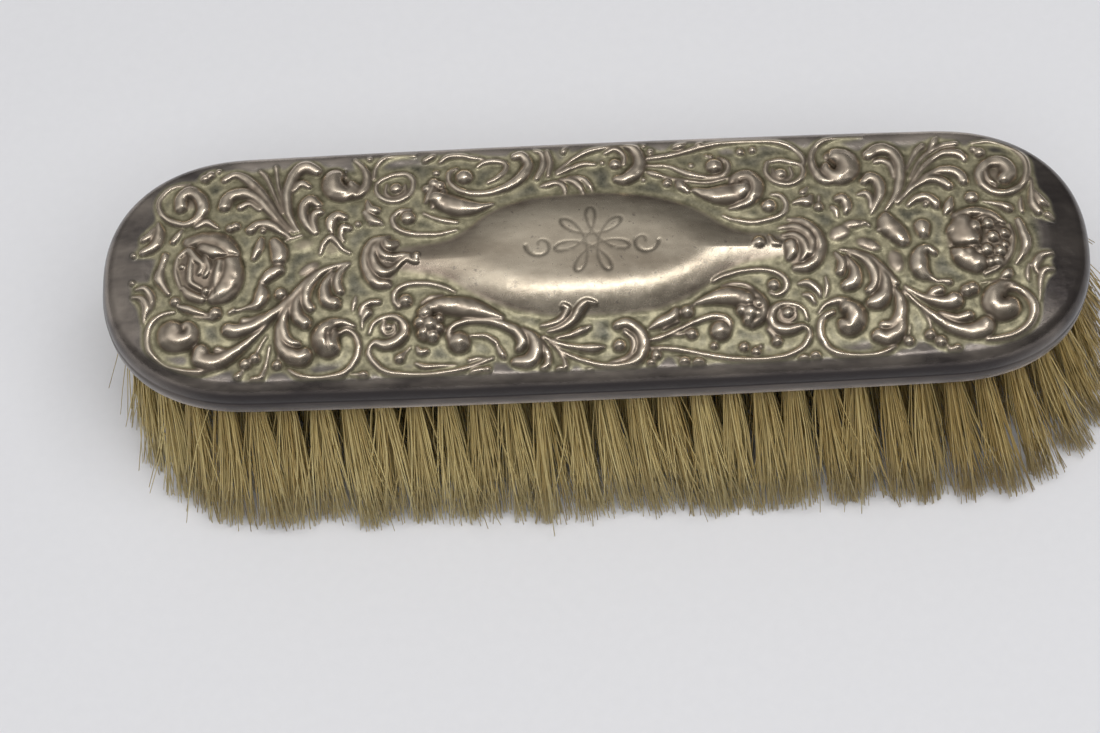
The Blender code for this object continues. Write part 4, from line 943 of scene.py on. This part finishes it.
def bristles(name, roots, each, levels, centre, rng, look):
    """Tufts of single tapered bristles: they leave the holes upright, splay, and lean one way."""
    tips = roots * (1 + SPLAY_ALONG, 1 + SPLAY_ACROSS) + (LEAN_ALONG, LEAN_ACROSS)
    tips[:, 0] += RIGHT_END_SPLAY * smoothstep((roots[:, 0] - 40) / 45)
    tuft = np.repeat(np.arange(len(roots)), each)
    count = len(tuft)
    lock = tuft * LOCKS + rng.integers(0, LOCKS, count)
    turn = rng.uniform(0, 2 * math.pi, count)
    place = np.stack([np.cos(turn), np.sin(turn)], 1) * np.sqrt(rng.uniform(0, 1, count))[:, None]
    lock_end = rng.normal(size=(len(roots) * LOCKS, 2)) * LOCK_SPREAD
    lock_short = np.abs(rng.normal(size=len(roots) * LOCKS)) * LOCK_SHORT
    stray = lock_end[lock] + rng.normal(size=(count, 2)) * STRAY
    stray += rng.normal(size=(len(roots), 2))[tuft] * TUFT_STRAY
    stray /= (1 + (np.hypot(*stray.T) / MOST_STRAY) ** 4)[:, None] ** 0.25
    stray *= (1.0, STRAY_ACROSS)
    wild = rng.uniform(0, 1, count) < WILD_SHARE
    stray += wild[:, None] * rng.uniform(-1, 1, (count, 2)) * (WILD_ALONG, WILD_ACROSS)
    short = lock_short[lock] + np.abs(rng.normal(size=count)) * BRISTLE_SHORT
    short += wild * rng.uniform(0, WILD_SHORT, count)
    bow = rng.normal(size=(count, 2)) * BOW
    thick = rng.uniform(THINNEST, THICKEST, count)
    phase = rng.uniform(0, 2 * math.pi, count)
    # The right end is darker: painted shade.
    tuft_shade = rng.normal(SHADE, TUFT_SHADES, len(roots)) - RIGHT_END_PAINTED_SHADE * smoothstep(roots[:, 0] / 80)
    shade = np.clip(rng.normal(0, BRISTLE_SHADES, count) + tuft_shade[tuft], 0, 1)
    rings = []
    for level in levels:
        s = max(level, 0.0)
        axis = roots[tuft] + (tips - roots)[tuft] * s**1.12
        spread = ROOT_SPREAD + (np.array(TIP_SPREAD) - ROOT_SPREAD) * s**0.85
        middle = axis + place * spread + stray * s**1.6 + bow * math.sin(math.pi * s)
        z = DROP * (1 - level) + short * s
        radius = BRISTLE_RADIUS * thick * (1 - TAPER * s**2)
        for k in range(BRISTLE_SIDES):
            angle = phase + 2 * math.pi * k / BRISTLE_SIDES
            ring = middle + np.stack([np.cos(angle), np.sin(angle)], 1) * radius[:, None]
            rings.append(np.column_stack([ring, z]))
    points = np.stack(rings, 1).reshape(-1, 3)
    points[:, 2] = np.maximum(points[:, 2], LOWEST_TIP)
    points += (centre.x / MM, centre.y / MM, 0.0)
    attributes = {
        "along": np.tile(np.repeat(np.maximum(levels, 0.0), BRISTLE_SIDES), count),
        "shade": np.repeat(shade, BRISTLE_SIDES * len(levels)),
    }
    return new_piece(name, points, bristle_faces(count, len(levels)), attributes, look)


# ---------------------------------------------------------------- materials


def node(tree, kind, inputs=None, **settings):
    """A shader node; an input given a socket is linked, any other value is set."""
    made = tree.nodes.new("ShaderNode" + kind)
    for key, value in settings.items():
        setattr(made, key, value)
    for key, value in (inputs or {}).items():
        if isinstance(value, bpy.types.NodeSocket):
            tree.links.new(value, made.inputs[key])
        else:
            made.inputs[key].default_value = value
    return made


def attribute(tree, name):
    return node(tree, "Attribute", attribute_name=name).outputs["Fac"]


def place_of(tree):
    return node(tree, "TexCoord").outputs["Object"]


def mapped(tree, **settings):
    """Places on the object, scaled or turned."""
    return node(tree, "Mapping", {"Vector": place_of(tree), **settings}).outputs["Vector"]


def noise(tree, size, detail=3.0, rough=0.55, where=None):
    """Noise with features of about size metres."""
    inputs = {"Vector": where or place_of(tree), "Scale": 1 / size, "Detail": detail, "Roughness": rough}
    return node(tree, "TexNoise", inputs).outputs["Fac"]


def ramp(tree, factor, *stops):
    made = node(tree, "ValToRGB", {"Fac": factor})
    elements = made.color_ramp.elements
    while len(elements) < len(stops):
        elements.new(0.5)
    for element, (place, colour) in zip(elements, stops):
        element.position = place
        element.color = colour if isinstance(colour, tuple) else (colour, colour, colour, 1.0)
    return made.outputs["Color"]


def mixed(tree, factor, first, second, blend="MIX"):
    inputs = {0: factor, 6: first, 7: second}
    return node(tree, "Mix", inputs, data_type="RGBA", blend_type=blend).outputs[2]


def sums(tree, operation, *values):
    return node(tree, "Math", dict(enumerate(values)), operation=operation).outputs[0]


def bump(tree, height, distance, strength=1.0, under=None):
    inputs = {"Height": height, "Distance": distance, "Strength": strength}
    if under:
        inputs["Normal"] = under
    return node(tree, "Bump", inputs).outputs["Normal"]


def new_look(name):
    """A material, its node tree and its shader."""
    look = bpy.data.materials.new(name)
    look.use_nodes = True
    return look, look.node_tree, look.node_tree.nodes["Principled BSDF"]


def finish_look(tree, shader, colour, roughness, normal, **sockets):
    tree.links.new(colour, shader.inputs["Base Color"])
    tree.links.new(roughness, shader.inputs["Roughness"])
    tree.links.new(normal, shader.inputs["Normal"])
    for key, value in sockets.items():
        socket = shader.inputs[key.replace("_", " ")]
        if isinstance(value, bpy.types.NodeSocket):
            tree.links.new(value, socket)
        else:
            socket.default_value = value


def silver_look():
    """Tarnished silver, painted by the masks of the embossing, with painted shade and painted highlights in
    its colour.
    """
    look, tree, shader = new_look("tarnished_silver")
    names = ("raised", "crease", "crest", "halo", "field", "boss", "heart", "cut", "shade_and_tarnish")
    raised, crease, crest, halo, field, boss, heart, cut, shade_and_tarnish = (attribute(tree, name) for name in names)
    cloud = noise(tree, 0.008, 4.0, 0.65, mapped(tree, Scale=(0.4, 1.0, 1.0)))
    grime = noise(tree, 0.0018, 4.0, 0.7)
    patch = noise(tree, 0.005, 3.0, 0.6)
    spots = noise(tree, 0.0011, 3.0, 0.7)
    fine = noise(tree, 0.0004, 2.0, 0.6)

    # border, and the sunk ground with its residue close to the raised work
    border = ramp(tree, cloud, (0.34, linear(100, 93, 90)), (0.66, linear(188, 176, 164)))
    ground = ramp(tree, grime, (0.35, linear(84, 84, 74)), (0.65, linear(144, 139, 122)))
    residue = ramp(tree, grime, (0.35, linear(140, 134, 109)), (0.65, linear(196, 187, 155)))
    ground = mixed(tree, ramp(tree, halo, (0.0, 0.0), (0.5, 1.0)), ground, residue)
    slate = ramp(tree, halo, (0.0, 0.0), (0.5, 0.3))
    colour = mixed(tree, slate, border, linear(96, 98, 98))
    colour = mixed(tree, field, colour, ground)

    # raised work, lighter on its crests: rubbed bright there, and a painted highlight
    rubbed_and_highlight = ramp(tree, patch, (0.3, linear(222, 205, 184)), (0.7, linear(246, 231, 210)))
    worn_and_highlit = mixed(tree, ramp(tree, crest, (0.0, 0.0), (0.75, 1.0)), linear(168, 152, 135), rubbed_and_highlight)
    is_raised = ramp(tree, raised, (0.3, 0.0), (0.9, 1.0))
    colour = mixed(tree, is_raised, colour, worn_and_highlit)

    # plain cartouche, browner round its edge, with small dark spots
    plain = ramp(tree, cloud, (0.3, linear(184, 170, 150)), (0.7, linear(228, 215, 193)))
    away = ramp(tree, heart, (0.0, 0.75), (1.0, 0.1))
    rim = sums(tree, "MULTIPLY", away, ramp(tree, cloud, (0.36, 1.0), (0.6, 0.2)))
    colour = mixed(tree, boss, colour, mixed(tree, rim, plain, linear(112, 98, 90)))
    stain = ramp(tree, spots, (0.62, 0.0), (0.72, 0.6))
    colour = mixed(tree, sums(tree, "MULTIPLY", stain, boss), colour, linear(110, 102, 100))

    # painted shade and tarnish on the border, painted shade in the creases, and the hatched engraving
    colour = mixed(tree, shade_and_tarnish, colour, linear(50, 45, 45))
    # painted shade: darker in the creases and at the foot of the raised work
    dark = ramp(tree, crease, (0.34, 0.0), (1.0, 0.8))
    colour = mixed(tree, dark, colour, linear(70, 62, 46))
    slanted = mapped(tree, Rotation=(0.0, 0.0, 0.9))
    hatch = node(tree, "TexWave", {"Vector": slanted, "Scale": 1250.0}, wave_profile="SIN").outputs["Fac"]
    engraved = sums(tree, "MULTIPLY", cut, ramp(tree, hatch, (0.2, 0.35), (0.8, 1.0)))
    colour = mixed(tree, sums(tree, "MULTIPLY", engraved, 0.8), colour, linear(70, 62, 54))

    matt = ramp(tree, field, (0.0, 0.26), (1.0, 0.38))
    bright = ramp(tree, crest, (0.0, 0.36), (0.8, 0.24))
    rough = mixed(tree, is_raised, matt, bright)
    rough = mixed(tree, boss, rough, ramp(tree, spots, (0.3, 0.23), (0.7, 0.29)))
    rough = mixed(tree, dark, rough, (0.55, 0.55, 0.55, 1.0))

    smooth = sums(tree, "MAXIMUM", is_raised, boss)
    metal = ramp(tree, smooth, (0.0, 0.72), (1.0, 0.93))
    normal = bump(tree, fine, 0.00008, sums(tree, "MULTIPLY_ADD", smooth, -0.26, 0.28))
    wavy = sums(tree, "MULTIPLY_ADD", boss, -0.26, 0.3)
    normal = bump(tree, noise(tree, 0.004, 2.0, 0.5), 0.0004, wavy, normal)
    normal = bump(tree, stain, 0.00005, -0.6, normal)
    finish_look(tree, shader, colour, rough, normal, Metallic=metal)
    return look


def bristle_look():
    look, tree, shader = new_look("boar_bristle")
    along, shade = attribute(tree, "along"), attribute(tree, "shade")
    # Darker toward the root: painted shade under the back and between the tufts.
    colour = ramp(
        tree, along,
        (0.0, linear(150, 120, 68)), (0.2, linear(226, 206, 144)), (1.0, linear(242, 227, 172)),
    )
    tint = ramp(tree, shade, (0.0, linear(196, 182, 156)), (1.0, linear(255, 255, 252)))
    colour = mixed(tree, 1.0, colour, tint, "MULTIPLY")
    grain = noise(tree, 0.0009, 2.0)
    rough = ramp(tree, grain, (0.3, 0.35), (0.7, 0.55))
    finish_look(tree, shader, colour, rough, bump(tree, grain, 0.00004), Specular_IOR_Level=0.45)
    return look


def plain_look(name, dark, light, size, roughness, depth, metallic=0.0, stretch=(1.0, 1.0, 1.0)):
    """A grained material between two colours; stretch lengthens its grain."""
    look, tree, shader = new_look(name)
    grain = noise(tree, size, 4.0, 0.6, mapped(tree, Scale=stretch))
    colour = ramp(tree, grain, (0.3, dark), (0.7, light))
    rough = ramp(tree, grain, (0.3, roughness - 0.08), (0.7, roughness + 0.08))
    finish_look(tree, shader, colour, rough, bump(tree, grain, depth), Metallic=metallic)
    return look


def carry_looks():
    """Materials for the CAD nodes that stay in view from underneath."""
    along_grain = (0.12, 1.0, 1.0)
    looks = {
        "pitch_filling": plain_look("pitch", linear(24, 20, 18), linear(46, 38, 33), 0.004, 0.4, 0.0002),
        "cover_board": plain_look(
            "veneer", linear(92, 60, 36), linear(128, 88, 54), 0.002, 0.55, 0.0001, 0.0, along_grain
        ),
        "bristle_stock": plain_look(
            "stained_wood", linear(62, 40, 26), linear(94, 62, 40), 0.0015, 0.5, 0.0001, 0.0, along_grain
        ),
        "draw_wire": plain_look(
            "brass_wire", linear(150, 118, 58), linear(186, 152, 84), 0.001, 0.34, 0.00003, 1.0
        ),
    }
    for name, look in looks.items():
        for slot in bpy.data.objects[name].material_slots:
            slot.material = look


# ---------------------------------------------------------------- floor, light, camera


def add_floor():
    bpy.ops.mesh.primitive_plane_add(size=3.0, location=(0.0, 0.3, 0.0))
    floor = bpy.context.object
    floor.name = "studio_floor"
    look, tree, shader = new_look("pale_floor")
    grain = noise(tree, 0.002, 2.0)
    colour = ramp(tree, grain, (0.0, linear(226, 226, 229)), (1.0, linear(230, 230, 233)))
    rough = ramp(tree, grain, (0.0, 0.75), (1.0, 0.85))
    finish_look(tree, shader, colour, rough, bump(tree, grain, 0.00002), Specular_IOR_Level=0.2)
    floor.data.materials.append(look)


def add_light(name, place, width, depth, radiance, colour=(1.0, 1.0, 1.0), in_reflections=True):
    """A rectangular light, equally bright all over, that points at the middle of the floor."""
    data = bpy.data.lights.new(name, "AREA")
    data.shape = "RECTANGLE"
    data.size, data.size_y = width, depth
    data.energy = math.pi * width * depth * radiance
    data.color = colour
    light = bpy.data.objects.new(name, data)
    light.location = place
    light.rotation_euler = (-Vector(place)).to_track_quat("-Z", "Y").to_euler()
    light.visible_glossy = in_reflections
    bpy.context.scene.collection.objects.link(light)


def add_world():
    """Dim surroundings: brightest overhead, darker toward the ends, and darker in front than behind."""
    world = bpy.data.worlds.new("studio")
    world.use_nodes = True
    tree = world.node_tree
    direction = node(tree, "TexCoord").outputs["Generated"]
    parts = node(tree, "SeparateXYZ", {"Vector": direction}).outputs
    levels = []
    for axis, stops in (("Y", WORLD_LEVELS), ("X", WORLD_SIDES)):
        part = node(tree, "MapRange", {"Value": parts[axis], "From Min": -1.0, "From Max": 1.0})
        levels.append(ramp(tree, part.outputs[0], *stops))
    colour = mixed(tree, 1.0, levels[0], levels[1], "MULTIPLY")
    tree.links.new(colour, tree.nodes["Background"].inputs["Color"])
    bpy.context.scene.world = world


def add_camera(centre):
    """A long lens above the front, turned a little, aimed just under the middle of the brush."""
    elevation, azimuth, roll = (math.radians(a) for a in (CAMERA_ELEVATION, CAMERA_AZIMUTH, CAMERA_ROLL))
    forward = Vector((
        -math.sin(azimuth) * math.cos(elevation),
        math.cos(azimuth) * math.cos(elevation),
        -math.sin(elevation),
    ))
    level = forward.cross(Vector((0.0, 0.0, 1.0))).normalized()
    above = level.cross(forward)
    right = level * math.cos(roll) + above * math.sin(roll)
    up = above * math.cos(roll) - level * math.sin(roll)
    right_of, above_of, away = CAMERA_OFFSET
    data = bpy.data.cameras.new("camera")
    data.sensor_width = 36.0
    data.lens = CAMERA_LENS
    data.clip_start = 0.01
    camera = bpy.data.objects.new("camera", data)
    aim = Vector((centre.x, centre.y, DROP * MM))
    place = aim - (right * right_of + up * above_of + forward * away) * MM
    turned = Matrix((right, up, -forward)).transposed().to_4x4()
    camera.matrix_world = Matrix.Translation(place) @ turned
    bpy.context.scene.collection.objects.link(camera)
    bpy.context.scene.camera = camera


# ---------------------------------------------------------------- the scene


def main():
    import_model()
    low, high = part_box("silver_back")
    centre = (low + high) / 2

    silver = silver_back(centre, silver_look())
    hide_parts("silver_back")

    rng = np.random.default_rng(SEED)
    hair = bristle_look()
    ring = bristles("bristle_ring", ring_roots(), RING_EACH, RING_LEVELS, centre, rng, hair)
    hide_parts("tuft_ring")
    for number, roots in enumerate(row_roots(), 1):
        row = bristles(f"bristle_row_{number}", roots, ROW_EACH, ROW_LEVELS, centre, rng, hair)
        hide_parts(f"tuft_row_{number}")

    carry_looks()
    add_floor()
    add_world()
    add_light("overhead", (0.12, 0.05, 0.95), width=0.08, depth=0.7, radiance=5.5, colour=(0.98, 0.99, 1.0))
    add_light("fill", (0.1, -0.4, 1.3), width=1.6, depth=1.2, radiance=2.5, in_reflections=False)
    add_camera(centre)
    bpy.context.scene.view_settings.view_transform = "Standard"


main()
